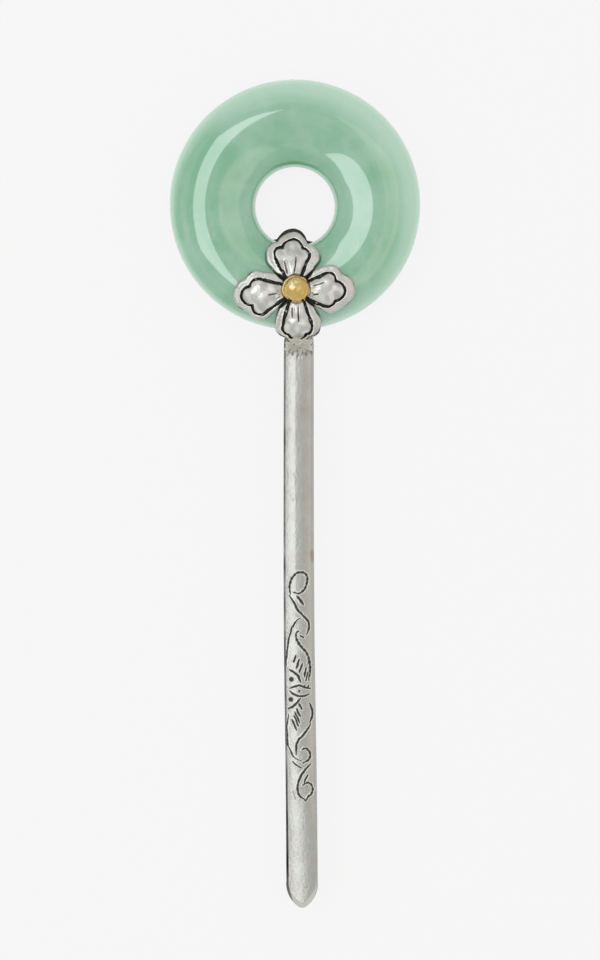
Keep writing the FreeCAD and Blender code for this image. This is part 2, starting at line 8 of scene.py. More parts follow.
import bpy
import numpy as np
from numpy import (clip, concatenate, cos, hypot, linspace, maximum, minimum, pi, radians, sin, sqrt, stack,
                   where, zeros)
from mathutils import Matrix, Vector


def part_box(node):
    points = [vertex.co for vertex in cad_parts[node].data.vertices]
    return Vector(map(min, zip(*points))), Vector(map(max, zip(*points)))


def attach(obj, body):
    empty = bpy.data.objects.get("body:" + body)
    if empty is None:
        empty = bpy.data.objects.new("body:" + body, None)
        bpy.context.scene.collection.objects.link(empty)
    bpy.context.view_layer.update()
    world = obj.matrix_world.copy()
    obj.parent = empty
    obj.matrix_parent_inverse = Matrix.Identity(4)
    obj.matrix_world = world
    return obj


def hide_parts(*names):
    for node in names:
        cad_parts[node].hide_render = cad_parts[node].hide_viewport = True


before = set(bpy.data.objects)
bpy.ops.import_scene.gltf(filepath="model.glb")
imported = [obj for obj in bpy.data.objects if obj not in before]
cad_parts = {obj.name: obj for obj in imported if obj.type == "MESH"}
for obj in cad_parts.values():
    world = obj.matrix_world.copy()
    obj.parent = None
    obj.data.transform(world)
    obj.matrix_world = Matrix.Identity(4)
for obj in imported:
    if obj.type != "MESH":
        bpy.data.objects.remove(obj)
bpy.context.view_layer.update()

MM = 0.001
boxes = {name: np.array(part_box(name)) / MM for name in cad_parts}
for name, (low, high) in boxes.items():
    print(name, low.round(2), high.round(2))

# %% [markdown]
# ## Where things are
# The boxes of the solids give the ring's place and the rivet's. The radius of the hole and of the rounded edges is
# said once here, and the crown's follows, as the arc that touches both edges.

# %% Places and radii
low, high = boxes["jade_ring"]
RING = (low + high) / 2
OUTER, THICK = (high[0] - low[0]) / 2, (high[2] - low[2]) / 2
HOLE, EDGE = 5.5, 2.2
BAND, BAND_MID = (OUTER - HOLE) / 2, (OUTER + HOLE) / 2
CROWN = (BAND**2 + THICK**2 - 2 * BAND * EDGE) / (2 * (THICK - EDGE))
CROWN_Z = THICK - CROWN
RIVET = boxes["rivet"].mean(axis=0)
DROP = RING[1] - RIVET[1]
print("crown", round(CROWN, 3), "rivet below the ring's centre", round(DROP, 2))

# %% [markdown]
# ## From a grid of points to a mesh
# Every piece is a closed skin: rings of points, one after another, closed at both ends by a point in the middle, or
# joined end to end as on a torus. Spin and Skin modifiers could make such shapes too, but on a grid of points relief,
# dents and engraving are plain sums. Faces must look outwards, so a skin whose volume comes out negative is turned.


# %% Skins
def skin(points, joined=False, **marks):
    """A closed skin from points[ring, place, xyz]. marks are values for each point, such as how dark it is.

    Four-sided faces join neighbouring rings. The end rings get fans of triangles, or join each other."""
    rings, places = points.shape[:2]
    index = np.arange(rings * places).reshape(rings, places)
    after = np.roll(index, -1, axis=1)
    if joined:
        below, below_after = np.roll(index, -1, axis=0), np.roll(after, -1, axis=0)
        quads = stack([index, after, below_after, below], axis=-1).reshape(-1, 4)
        fans = zeros((0, 3), dtype=int)
    else:
        quads = stack([index[:-1], after[:-1], after[1:], index[1:]], axis=-1).reshape(-1, 4)
        first, last = rings * places, rings * places + 1
        fans = concatenate([
            stack([after[0], index[0], np.full(places, first)], axis=-1),
            stack([index[-1], after[-1], np.full(places, last)], axis=-1),
        ])
    spots = points.reshape(-1, 3)
    values = {name: np.broadcast_to(mark, (rings, places)).reshape(-1) for name, mark in marks.items()}
    if not joined:
        spots = concatenate([spots, points[0].mean(axis=0)[None], points[-1].mean(axis=0)[None]])
        values = {name: np.append(mark, [mark[:places].mean(), mark[-places:].mean()])
                  for name, mark in values.items()}
    middle = spots.mean(axis=0)
    a, b, c, d = (spots[quads[:, k]] - middle for k in range(4))
    e, f, g = (spots[fans[:, k]] - middle for k in range(3))
    volume = (np.cross(a, b) * c).sum() + (np.cross(a, c) * d).sum() + (np.cross(e, f) * g).sum()
    if volume < 0:
        quads, fans = quads[:, ::-1], fans[:, ::-1]
    return spots, quads, fans, values


def put(name, data):
    """Puts a new object with this mesh, lamp or camera in the scene."""
    thing = bpy.data.objects.new(name, data)
    bpy.context.scene.collection.objects.link(thing)
    return thing


def build(name, skins, finish, slot, *nodes):
    """Puts one or more skins into one mesh object, which stands for the named solids and rides on the pin."""
    counts = np.cumsum([0] + [len(one[0]) for one in skins])
    spots = concatenate([one[0] for one in skins])
    quads, fans = (concatenate([one[k] + count for one, count in zip(skins, counts)]) for k in (1, 2))
    marks = {mark: concatenate([one[3][mark] for one in skins]) for mark in skins[0][3]}
    corners = concatenate([quads.ravel(), fans.ravel()])
    sides = concatenate([np.full(len(quads), 4), np.full(len(fans), 3)])
    mesh = bpy.data.meshes.new(name)
    mesh.vertices.add(len(spots))
    mesh.vertices.foreach_set("co", (spots * MM).ravel())
    mesh.loops.add(len(corners))
    mesh.loops.foreach_set("vertex_index", corners)
    mesh.polygons.add(len(sides))
    mesh.polygons.foreach_set("loop_start", np.cumsum(sides) - sides)
    mesh.update(calc_edges=True)
    mesh.polygons.foreach_set("use_smooth", np.ones(len(sides), dtype=bool))
    for mark, value in marks.items():
        layer = mesh.attributes.new(mark, "FLOAT", "POINT")
        layer.data.foreach_set("value", value.astype(np.float32))
    mesh.materials.append(finish)
    piece = put(name, mesh)
    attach(piece, "root")
    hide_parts(*nodes)
    low, high = spots.min(axis=0), spots.max(axis=0)
    print(f"{name}: {2 * len(quads) + len(fans)} triangles, {low.round(2)} to {high.round(2)} mm")


# %% [markdown]
# ## Unevenness
# Nothing made by hand is quite even. A dozen sine waves in random directions add up to a rolling unevenness, and a
# seed makes the random numbers the same in each run.


# %% Ripples and soft steps
def ripple(x, y, length, seed):
    """Unevenness of about -1 to 1: twelve sine waves of about one length, each with its own direction and phase,
    added and divided by the square root of six."""
    chance = np.random.default_rng(seed)
    way, phase = chance.uniform(0, 2 * pi, (2, 12))
    pace = 2 * pi / length * chance.uniform(0.7, 1.4, 12)
    total = zeros(np.broadcast(x, y).shape)
    for k in range(12):
        total += sin(pace[k] * (cos(way[k]) * x + sin(way[k]) * y) + phase[k])
    return total / sqrt(6)


def step(value, start, end):
    """A soft step from 0 at start to 1 at end: three times the square less twice the cube."""
    t = clip((value - start) / (end - start), 0, 1)
    return t * t * (3 - 2 * t)


def bell(distance, width):
    """A soft hump that is 1 where the distance is 0: e to the power of minus the square of distance by width."""
    return np.exp(-((distance / width) ** 2))


def from_line(x, y, points):
    """The distance from each place to a chain of straight lines, and how far along the chain that is."""
    points = np.asarray(points, dtype=float)
    best, along = np.full(np.shape(x), np.inf), zeros(np.shape(x))
    lengths = hypot(*np.diff(points, axis=0).T)
    done = 0.0
    for (x0, y0), (x1, y1), length in zip(points[:-1], points[1:], lengths):
        t = clip(((x - x0) * (x1 - x0) + (y - y0) * (y1 - y0)) / length**2, 0, 1)
        away = hypot(x - x0 - t * (x1 - x0), y - y0 - t * (y1 - y0))
        along = where(away < best, (done + t * length) / lengths.sum(), along)
        best = minimum(best, away)
        done += length
    return best, along


# %% [markdown]
# ## Shader maths in plain expressions
# A material's numbers change over the surface through Math nodes. Wiring them by hand is slow to read, so one small
# class wraps an output socket and overloads the signs of arithmetic: writing 1 - cloud * 0.5 adds the nodes. Colours
# are mixed with a Mix node, as a Math node would turn them grey.


# %% A socket that does sums
class Socket:
    """A node's output. The signs + - * add a Math node to the finish and give its output."""

    def __init__(self, finish, output):
        self.finish = finish
        self.output = output

    def maths(self, operation, *values):
        return self.finish.add("Math", {"operation": operation}, dict(enumerate(values)))

    def __add__(self, other):
        return self.maths("ADD", self, other)

    def __radd__(self, other):
        return self.maths("ADD", other, self)

    def __sub__(self, other):
        return self.maths("SUBTRACT", self, other)

    def __rsub__(self, other):
        return self.maths("SUBTRACT", other, self)

    def __mul__(self, other):
        return self.maths("MULTIPLY", self, other)

    def __rmul__(self, other):
        return self.maths("MULTIPLY", other, self)


# %% [markdown]
# A finish is one material. One method adds any node, and those that come often get a short name. Noise is placed by
# Object coordinates, so it stays with the metal when the pin moves.


# %% A finish
class Finish:
    """A material whose nodes are added one call at a time, around one Principled shader."""

    def __init__(self, name):
        self.material = bpy.data.materials.new(name)
        self.material.use_nodes = True
        self.tree = self.material.node_tree
        self.tree.nodes.clear()
        self.shader = self.tree.nodes.new("ShaderNodeBsdfPrincipled")
        self.end = self.tree.nodes.new("ShaderNodeOutputMaterial")
        self.tree.links.new(self.shader.outputs[0], self.end.inputs["Surface"])
        self.place = self.add("TexCoord", output="Object")

    def add(self, kind, settings=None, sockets=None, output=0):
        """Any shader node: its type, its settings, then the values or links of its sockets, by name or number."""
        node = self.tree.nodes.new("ShaderNode" + kind)
        for name, value in (settings or {}).items():
            setattr(node, name, value)
        for name, value in (sockets or {}).items():
            self.feed(node.inputs[name], value)
        return Socket(self, node.outputs[output])

    def feed(self, socket, value):
        """Links an output to a socket, or writes a plain value on it."""
        if isinstance(value, Socket):
            self.tree.links.new(value.output, socket)
        else:
            socket.default_value = value

    def set(self, sockets):
        """Feeds the Principled shader's own sockets, by name."""
        for name, value in sockets.items():
            self.feed(self.shader.inputs[name], value)

    def noise(self, size, detail=2.0, rough=0.5, stretch=(1, 1, 1), shift=(0, 0, 0)):
        """Noise of about 0 to 1 with blobs of the given size in millimetres, stretched along each axis."""
        scale = [1 / (size * MM * s) for s in stretch]
        spot = self.add("Mapping", {}, {"Vector": self.place, "Scale": scale, "Location": shift})
        return self.add("TexNoise", {}, {"Vector": spot, "Scale": 1.0, "Detail": detail,
                                         "Roughness": rough})

    def mark(self, name):
        """The mark of that name on the mesh, which Blender calls an attribute."""
        return self.add("Attribute", {"attribute_name": name}, output="Fac")

    def ease(self, value, start, end):
        """A soft step from 0 to 1 as the value goes from start to end."""
        return self.add("MapRange", {"interpolation_type": "SMOOTHSTEP"},
                        {"Value": value, "From Min": start, "From Max": end})

    def blend(self, factor, first, second):
        """One colour where the factor is 0 and another where it is 1."""
        first, second = (c if isinstance(c, Socket) else (*c, 1.0) for c in (first, second))
        return self.add("Mix", {"data_type": "RGBA"}, {"Factor": factor, 6: first, 7: second}, output=2)

    def bump(self, height, depth):
        """Tilts the normal as if the surface rose by height times depth millimetres."""
        return self.add("Bump", {}, {"Strength": 1.0, "Distance": depth * MM, "Height": height})


# %% [markdown]
# ## Jade
# Jade is a felt of fine crystals. Light goes a little way in and comes out softened, which the shader's subsurface
# does. The green is cloudy, with paler wisps and flecks. The mark named streak follows the saw's cuts. The other mark
# is painted glow: a paler green painted where light would come through an edge. A strong coat gives the polish its
# long clear highlights.

# %% The jade's finish
DEEP_GREEN, PALE_GREEN, WISP = (0.105, 0.425, 0.215), (0.225, 0.505, 0.335), (0.40, 0.60, 0.48)
FLECK, STREAK, PAINTED_GLOW_GREEN = (0.62, 0.78, 0.66), (0.45, 0.66, 0.53), (0.50, 0.76, 0.60)
jade = Finish("jade")
jade.set({"Roughness": 0.16, "IOR": 1.66, "Subsurface Weight": 0.30, "Subsurface Radius": (0.9, 1.2, 0.9),
          "Subsurface Scale": 0.0012, "Coat Weight": 1.0, "Coat Roughness": 0.025, "Coat IOR": 2.3})
cloud = jade.noise(9.0, detail=3.0, rough=0.55, shift=(3.1, 0.4, 0.0))
wisp = jade.noise(3.2, detail=4.0, rough=0.6, stretch=(1, 1.8, 1), shift=(0.0, 7.7, 2.0))
fleck = jade.noise(0.5, detail=3.0, rough=0.7)
green = jade.blend(jade.ease(cloud, 0.35, 0.65), DEEP_GREEN, PALE_GREEN)
green = jade.blend(jade.ease(wisp, 0.5, 0.78) * 0.45, green, WISP)
green = jade.blend(jade.ease(fleck, 0.55, 0.8) * 0.10, green, FLECK)
green = jade.blend(jade.ease(jade.mark("streak"), 0.2, 1.8) * 0.14, green, STREAK)
# painted glow: paler green where the edges would let light through
green = jade.blend(jade.mark("thin") * 0.9, green, PAINTED_GLOW_GREEN)
jade.set({"Base Color": green, "Normal": jade.bump(jade.noise(4.5, detail=1.0), 0.03)})
print("jade nodes", len(jade.tree.nodes))

# %% [markdown]
# ## Silver
# Old silver is bright where it is rubbed, and black where it isn't, from the sulphur in the air. Three marks on the
# meshes carry that. The dark one says how black a groove, a vein or a crevice is, and also carries painted shade: down
# the shank's left edge, on the petals' walls, undersides and outer rim edges, next to the collar, and on the gold. The
# bright one says where lips and corners are rubbed bright, and also carries painted highlights along the petals' lips,
# the shank's left bevel and on the bead. Rust says where brown tarnish has crept in. A fine grain of scratches and
# pits breaks up the reflections.

# %% The silver's finish
RUBBED_AND_SHEEN_BRIGHT, OXIDE_AND_SHADE_BLACK = (0.93, 0.93, 0.90), (0.034, 0.034, 0.030)
SPOT_BROWN, RUST_BROWN = (0.20, 0.17, 0.13), (0.34, 0.24, 0.16)


def silver_finish(name, bright, warm, roughness, grain_size, grain_depth):
    """Silver with black oxide and brown tarnish where the marks say so, and a fine grain everywhere."""
    silver = Finish(name)
    cloudy = silver.noise(2.6, detail=4.0, rough=0.6)
    fine = silver.noise(grain_size, detail=4.0, rough=0.7)
    spots = silver.noise(0.35, shift=(5.0, 1.0, 0.0))
    metal = silver.blend(silver.ease(cloudy, 0.35, 0.7), bright, warm)
    metal = silver.blend(silver.ease(spots, 0.68, 0.78) * 0.4, metal, SPOT_BROWN)
    # the bright mark: rubbed metal, and painted highlights where the meshes set it
    metal = silver.blend(silver.mark("rub"), metal, RUBBED_AND_SHEEN_BRIGHT)
    rust = silver.ease(silver.mark("rust") + fine * 0.5, 0.55, 0.95)
    metal = silver.blend(rust * 0.7, metal, RUST_BROWN)
    # the dark mark: patina in the hollows, and painted shade where the meshes set it
    oxide = silver.ease(silver.mark("oxide") + (fine - 0.5) * 0.35, 0.3, 0.75)
    silver.set({
        "Base Color": silver.blend(oxide, metal, OXIDE_AND_SHADE_BLACK),
        "Metallic": 1 - oxide * 0.6,
        "Roughness": roughness + (fine - 0.5) * 0.14 + oxide * 0.25,
        "Normal": silver.bump(fine, grain_depth),
    })
    print(name, "nodes", len(silver.tree.nodes))
    return silver.material


bar_silver = silver_finish("bar_silver", (0.475, 0.48, 0.455), (0.445, 0.435, 0.405), 0.19, 0.30, 0.036)
cast_silver = silver_finish("cast_silver", (0.63, 0.63, 0.605), (0.52, 0.51, 0.48), 0.29, 0.28, 0.020)
solder_silver = silver_finish("solder_silver", (0.61, 0.59, 0.525), (0.54, 0.52, 0.455), 0.28, 0.30, 0.036)

# %% [markdown]
# ## Gold
# The bead and its collar are a soft, pale gold, whose colour hardly changes but for duller clouds. Painted shade turns
# the bead's foot and crease and the collar's inner lip and foot brown, and two creamy spots on the bead's dome are a
# painted highlight.

# %% The gold's finish
GOLD, DULL_GOLD, PAINTED_HIGHLIGHT_GOLD, PAINTED_SHADE_BROWN = (0.71, 0.505, 0.18), (0.62, 0.41, 0.13), (0.84, 0.76, 0.49), (0.10, 0.06, 0.025)
gold = Finish("gold")
dull = gold.noise(1.1, detail=4.0, rough=0.65)
speck = gold.noise(0.25, rough=0.6)
# painted shade: on the gold the dark mark is only shade, painted brown
oxide = gold.ease(gold.mark("oxide") + (speck - 0.5) * 0.3, 0.35, 0.85)
shade = gold.blend(gold.ease(dull, 0.4, 0.72), GOLD, DULL_GOLD)
# painted highlight: paler, creamier gold where the bright mark is set
shade = gold.blend(gold.mark("rub") * 0.9, shade, PAINTED_HIGHLIGHT_GOLD)
gold.set({
    "Metallic": 1.0,
    "Base Color": gold.blend(oxide, shade, PAINTED_SHADE_BROWN),
    "Roughness": 0.18 + (speck - 0.5) * 0.12 + oxide * 0.3,
    "Normal": gold.bump(speck, 0.012),
})
print("gold nodes", len(gold.tree.nodes))

# %% [markdown]
# ## The jade ring
# The ring was sawn and ground from one stone. Its section is four arcs that touch: a crown on each face and a rounded
# edge inside and outside. It could be a torus with a modifier, but four arcs carried round a circle give its exact
# section, with points spread evenly along it.


# %% The ring's section
def ring_section(count):
    """Points (distance from the ring's axis, height) round the section, evenly spaced along its four arcs."""
    reach = BAND - EDGE
    lean = np.arctan2(reach, -CROWN_Z)
    arcs = [
        (BAND_MID, CROWN_Z, CROWN, pi / 2 - lean, pi / 2 + lean),
        (BAND_MID - reach, 0, EDGE, pi / 2 + lean, 3 * pi / 2 - lean),
        (BAND_MID, -CROWN_Z, CROWN, 3 * pi / 2 - lean, 3 * pi / 2 + lean),
        (BAND_MID + reach, 0, EDGE, -pi / 2 + lean, pi / 2 - lean),
    ]
    lengths = np.array([radius * (last - first) for _, _, radius, first, last in arcs])
    ends = np.cumsum(lengths)
    along = np.arange(count) / count * ends[-1]
    which = np.searchsorted(ends, along, side="right")
    x, z, radius, first, _ = np.array(arcs)[which].T
    angle = first + (along - (ends - lengths)[which]) / radius
    return x + radius * cos(angle), z + radius * sin(angle)


# %% [markdown]
# The grinding wheel didn't run quite true: the crown's crest lies a little outside the band's middle, the hole sits a
# little low, and the section is a hair thinner in places. The rounded edges are painted a paler green as glow, as if
# light came through them, most at the upper right, and so is the hole's rim.

# %% The ring
GROUND, CREST_OUT, CREST_REACH, HOLE_LOW, LIT_FROM = 0.0015, 0.42, 3.8, 0.28, 48
across, height = ring_section(136)
turn = linspace(0, 2 * pi, 480, endpoint=False)[:, None]
x, y = across * cos(turn), across * sin(turn)
shrink = 1 - GROUND * (1 + ripple(x, y, 11.0, 3)) / 2
middle_x, middle_y = BAND_MID * cos(turn), BAND_MID * sin(turn)
x, y = middle_x + (x - middle_x) * shrink, middle_y + (y - middle_y) * shrink
around = hypot(x, y)
skew = 1 + CREST_OUT * clip(1 - ((around - BAND_MID) / CREST_REACH) ** 2, 0, 1) ** 1.5 / around
hang = HOLE_LOW * clip((OUTER - around) / (OUTER - HOLE), 0, 1)
points = stack([x * skew + RING[0], y * skew - hang + RING[1], height * shrink + RING[2]], axis=-1)
# painted glow: the outer edge, widest on the lit side, and the hole's rim are marked for a paler green
lit_side_glow = 0.5 + 0.5 * cos(turn - radians(LIT_FROM))
thin = maximum(step(around, OUTER - 1.0 - 5.5 * lit_side_glow**1.5, OUTER + 0.1) * (0.8 + 0.2 * lit_side_glow),
               0.8 * step(HOLE + 0.75 - around, 0, 0.7))
streak = ripple(around * 1.6 + 1.2 * sin(turn + 1), 2.4 * cos(turn - 0.7), 3.0, 5)
ring_skin = skin(points, joined=True, thin=thin, streak=streak)
build("jade_ring_ground", [ring_skin], jade.material, "jade", "jade_ring")

# %% [markdown]
# ## The bent flowers
# Each flower is a thick plate, bent down over the ring's crown and straight beyond. A place on the flat flower, with a
# height above its underside, is moved onto that bent sheet along its normal.

# %% The bend
PLATE, GAP = 0.85, 0.05
FACE = CROWN + GAP + PLATE
WING_LEAN = radians(16.6)


def bend(x, y, h, behind=False):
    """Moves places (x, y), seen from the front, to the bent flower, at heights h above its underside.

    Across the ring's band the flower's face is an arc about the crown's centre, and beyond the wings' lean it is
    the straight line that touches that arc. From that face the height is laid along the normal. The back flower is
    mirrored in the ring's mid-plane."""
    from_ring = hypot(x, y - DROP)
    out = from_ring - BAND_MID
    side = where(out < 0, -1.0, 1.0)
    arc_end = FACE * sin(WING_LEAN)
    lean = where(abs(out) < arc_end, np.arcsin(clip(out / FACE, -1, 1)), side * WING_LEAN)
    face = CROWN_Z + FACE * cos(lean) - maximum(abs(out) - arc_end, 0) * np.tan(WING_LEAN)
    z = face + (h - PLATE) * cos(lean)
    grown = (from_ring + (h - PLATE) * sin(lean)) / from_ring
    points = stack([x * grown + RING[0], (y - DROP) * grown + RING[1], z + RING[2]], axis=-1)
    return points * (1, 1, -1) + (0, 0, 2 * RING[2]) if behind else points


# %% [markdown]
# ## The petals
# A petal is a puffed field with three lobes, a sunk black groove round it and a rim outside. Its outlines are drawn
# with a round stamp for each lobe and a tapering neck, and a ray from the petal's middle finds how far each one
# reaches. Cutting the groove with a boolean would leave ragged faces; here every edge follows its outline exactly.


# %% Rays to an outline
def to_disc(turn, start, disc):
    """How far rays from (0, start) reach in a disc (across, along, radius), or 0 where they miss."""
    across, along = disc[0], disc[1] - start
    nearest = across * cos(turn) + along * sin(turn)
    inside = disc[2] ** 2 - (across**2 + along**2 - nearest**2)
    return where(inside > 0, maximum(nearest + sqrt(maximum(inside, 0)), 0), 0)


def to_sides(turn, start, corners):
    """How far rays from (0, start) reach in an outline of straight sides, given anticlockwise."""
    corners = np.asarray(corners, dtype=float)
    ways = np.roll(corners, -1, axis=0) - corners
    best = np.full(turn.shape, np.inf)
    for (px, py), (wx, wy) in zip(corners, ways):
        leaving = wy * cos(turn) - wx * sin(turn)
        gap = wy * px - wx * (py - start)
        best = where(leaving > 1e-6, minimum(best, gap / where(leaving > 1e-6, leaving, 1)), best)
    return best


def to_outline(turn, start, lobes, corners):
    """How far rays from (0, start) reach in some discs and an outline of straight sides together."""
    return np.max([to_disc(turn, start, lobe) for lobe in lobes] + [to_sides(turn, start, corners)], axis=0)


def soften(reach, spread):
    """Rounds an outline's corners: a circular blur over the ray's direction, by its waves."""
    waves = np.arange(len(reach) // 2 + 1)
    return np.fft.irfft(np.fft.rfft(reach) * np.exp(-((waves * spread) ** 2) / 2), len(reach))


# %% [markdown]
# No two of the petals are alike, as each was trimmed by hand. A row gives the direction, the three lobes of the field
# and of the rim (left, tip and right, looking outwards) and the corners of the field's neck. Lobes are distance
# across, distance out from the rivet, and radius. The lowest petals sink towards their tips, where the solder holds
# them.

# %% Petals
PETALS = {
    "upper": (95.0, [(-1.50, 4.95, 0.90), (0.08, 5.50, 1.32), (1.30, 4.60, 0.88)],
              [(-1.75, 4.90, 1.90), (0.10, 5.92, 2.10), (1.80, 4.40, 1.80)],
              [(-0.75, 1.0), (0.35, 1.0), (2.05, 4.30), (-2.35, 4.75)]),
    "left": (187.0, [(-1.80, 5.22, 0.95), (-0.15, 6.30, 1.18), (0.95, 5.30, 0.92)],
             [(-1.85, 5.15, 1.80), (-0.10, 6.40, 2.30), (1.30, 5.20, 1.85)],
             [(-0.55, 1.0), (0.35, 1.0), (1.80, 4.80), (-2.66, 4.90)]),
    "lower": (273.0, [(-0.95, 5.40, 0.88), (0.15, 5.95, 1.16), (1.15, 5.30, 0.90)],
              [(-1.35, 4.85, 1.90), (0.15, 5.90, 1.95), (1.35, 4.75, 1.90)],
              [(-0.60, 1.0), (0.60, 1.0), (1.95, 4.90), (-1.75, 5.00)]),
    "right": (358.5, [(-1.25, 4.55, 0.90), (0.22, 5.42, 1.26), (1.35, 4.45, 0.92)],
              [(-1.60, 4.55, 1.85), (0.15, 5.72, 2.46), (1.42, 4.85, 1.90)],
              [(-0.55, 1.0), (1.00, 1.0), (2.25, 4.10), (-2.10, 4.30)]),
}
VEINS = [
    ((-1.6, 4.0), (-1.35, 2.9), (-1.1, 1.8)), ((0.1, 4.6), (0.0, 3.2), (-0.3, 1.8)),
    ((-3.9, -0.8), (-3.1, -0.7), (-2.3, -0.5)), ((-2.75, -1.5), (-2.4, -1.2), (-2.0, -1.0)),
    ((2.25, 0.35), (3.3, 0.6), (4.25, 0.95)), ((2.25, -0.85), (2.8, -0.8), (3.3, -0.7)),
    ((0.3, -2.2), (0.3, -3.5), (0.4, -4.9)), ((-0.55, -2.45), (-0.55, -3.3), (-0.5, -4.2)),
]
GROOVE, PART_AT, HALF_GAP = 0.27, 3.5, 0.012
LOWERED, LOWERED_FROM = 0.55, (5.6, 7.6)

# %% [markdown]
# The groove's outline is the field's, a little bigger. The rim's is bounded by the lines where petals part. A ripple
# shakes them all, and none may cross the next. Behind, the upper petal is longer: it shows in the ring's hole.


# %% A petal's outlines
def petal_outlines(key, rays, behind, seed):
    """The rays' directions and start, and how far along them field, groove and rim reach."""
    angle, field_lobes, rim_lobes, neck = PETALS[key]
    axes = sorted(row[0] for row in PETALS.values())
    place = axes.index(angle)
    left = radians((axes[(place + 1) % 4] - angle) % 360 / 2) - HALF_GAP
    right = radians((angle - axes[place - 1]) % 360 / 2) - HALF_GAP
    start = field_lobes[1][1] - 1.3
    turn = linspace(0, 2 * pi, rays, endpoint=False)
    field = to_outline(turn, start, field_lobes, neck)
    wider = [(across, along, radius + GROOVE) for across, along, radius in field_lobes]
    wide_neck = [(x + np.sign(x) * (GROOVE + 0.07), y - 0.2) for x, y in neck]
    groove = to_outline(turn, start, wider, wide_neck)
    body = [(-0.5, 0.62), (0.5, 0.62), (PART_AT * sin(right), PART_AT * cos(right)),
            (rim_lobes[2][0] + rim_lobes[2][2] * 0.94, rim_lobes[2][1] - 0.45),
            (rim_lobes[0][0] - rim_lobes[0][2] * 0.94, rim_lobes[0][1] - 0.45),
            (-PART_AT * sin(left), PART_AT * cos(left))]
    longer = 0.74 if behind and key == "upper" else 0.0
    lobes = [(across * (1 + 0.2 * longer), along + longer, radius) for across, along, radius in rim_lobes]
    rim = to_outline(turn, start, lobes, body)
    wobble = ripple(cos(turn) * 2 + seed, sin(turn) * 2, 1.6, seed)
    shaky = ripple(cos(turn) * 2 + seed, sin(turn) * 2, 0.45, seed + 3)
    rim = soften(rim, 0.035) + 0.035 * wobble + 0.008 * shaky
    groove = minimum(soften(groove, 0.045) + 0.035 * wobble + 0.020 * shaky, rim - 0.16)
    field = minimum(soften(field, 0.045) + 0.03 * np.roll(wobble, rays // 5), groove - 0.13)
    return turn, start, field, groove, rim


# %% [markdown]
# The section's path climbs from the middle of the field over its edge, through the groove, which is cut square, across
# the rim with its bright lip, down the wall and back underneath.

# %% The path of a petal's section
FIELD, FIELD_EDGE, FLOOR, GROOVE_WALL, RIM, WALL, UNDER = range(7)
FIELD_FOOT, FLOOR_HIGH, RIM_HIGH, WALL_HIGH = 0.74, 0.34, 0.80, 0.68


def petal_path(field, groove, rim):
    """How far along its ray and how high each point of the path is, and on which part."""
    s = linspace(0, 1, 34)[1:, None]
    wall = linspace(0, 1, 5)[1:, None]
    t = linspace(0, 1, 13)[1:, None]
    path = [(s * (soften(field, 0.55) * (1 - s**2) + field * s**2), FIELD_FOOT + 0.62 * (1 - s**2.2) ** 0.9)]
    path.append((field + 0.035 * wall, 0.76 - (0.76 - FLOOR_HIGH) * wall))
    path.append((field + 0.035 + (groove - field - 0.06) * wall, FLOOR_HIGH - 0.02 * sin(pi * wall)))
    path.append((groove - 0.025 + 0.02 * wall, FLOOR_HIGH + (RIM_HIGH - FLOOR_HIGH) * wall))
    lip = 0.10 * bell(t * (rim - groove) - 0.10, 0.10)
    path.append((groove - 0.005 + (rim - groove + 0.005) * t, RIM_HIGH + 0.02 * sin(pi * t) - 0.13 * t**6 + lip))
    path.append((rim + 0.05 * sin(pi * wall * 0.9), WALL_HIGH - WALL_HIGH * wall))
    path.append((rim * (1 - 0.96 * linspace(0, 1, 6)[1:, None]), zeros((5, 1))))
    far, high = (concatenate([part[k] + 0 * rim for part in path]) for k in (0, 1))
    return far, high, np.repeat(np.arange(7), [len(part[1]) for part in path])[:, None]


# %% [markdown]
# Then relief is added: veins with a swollen bank on each side, and a hollow under the bead. Patina lies in groove,
# veins and partings. Painted shade darkens the rims' outer edges, the walls and undersides, and the tops next to the
# collar. The fields are brightened in random patches, and the lip is rubbed bright and carries a painted highlight.


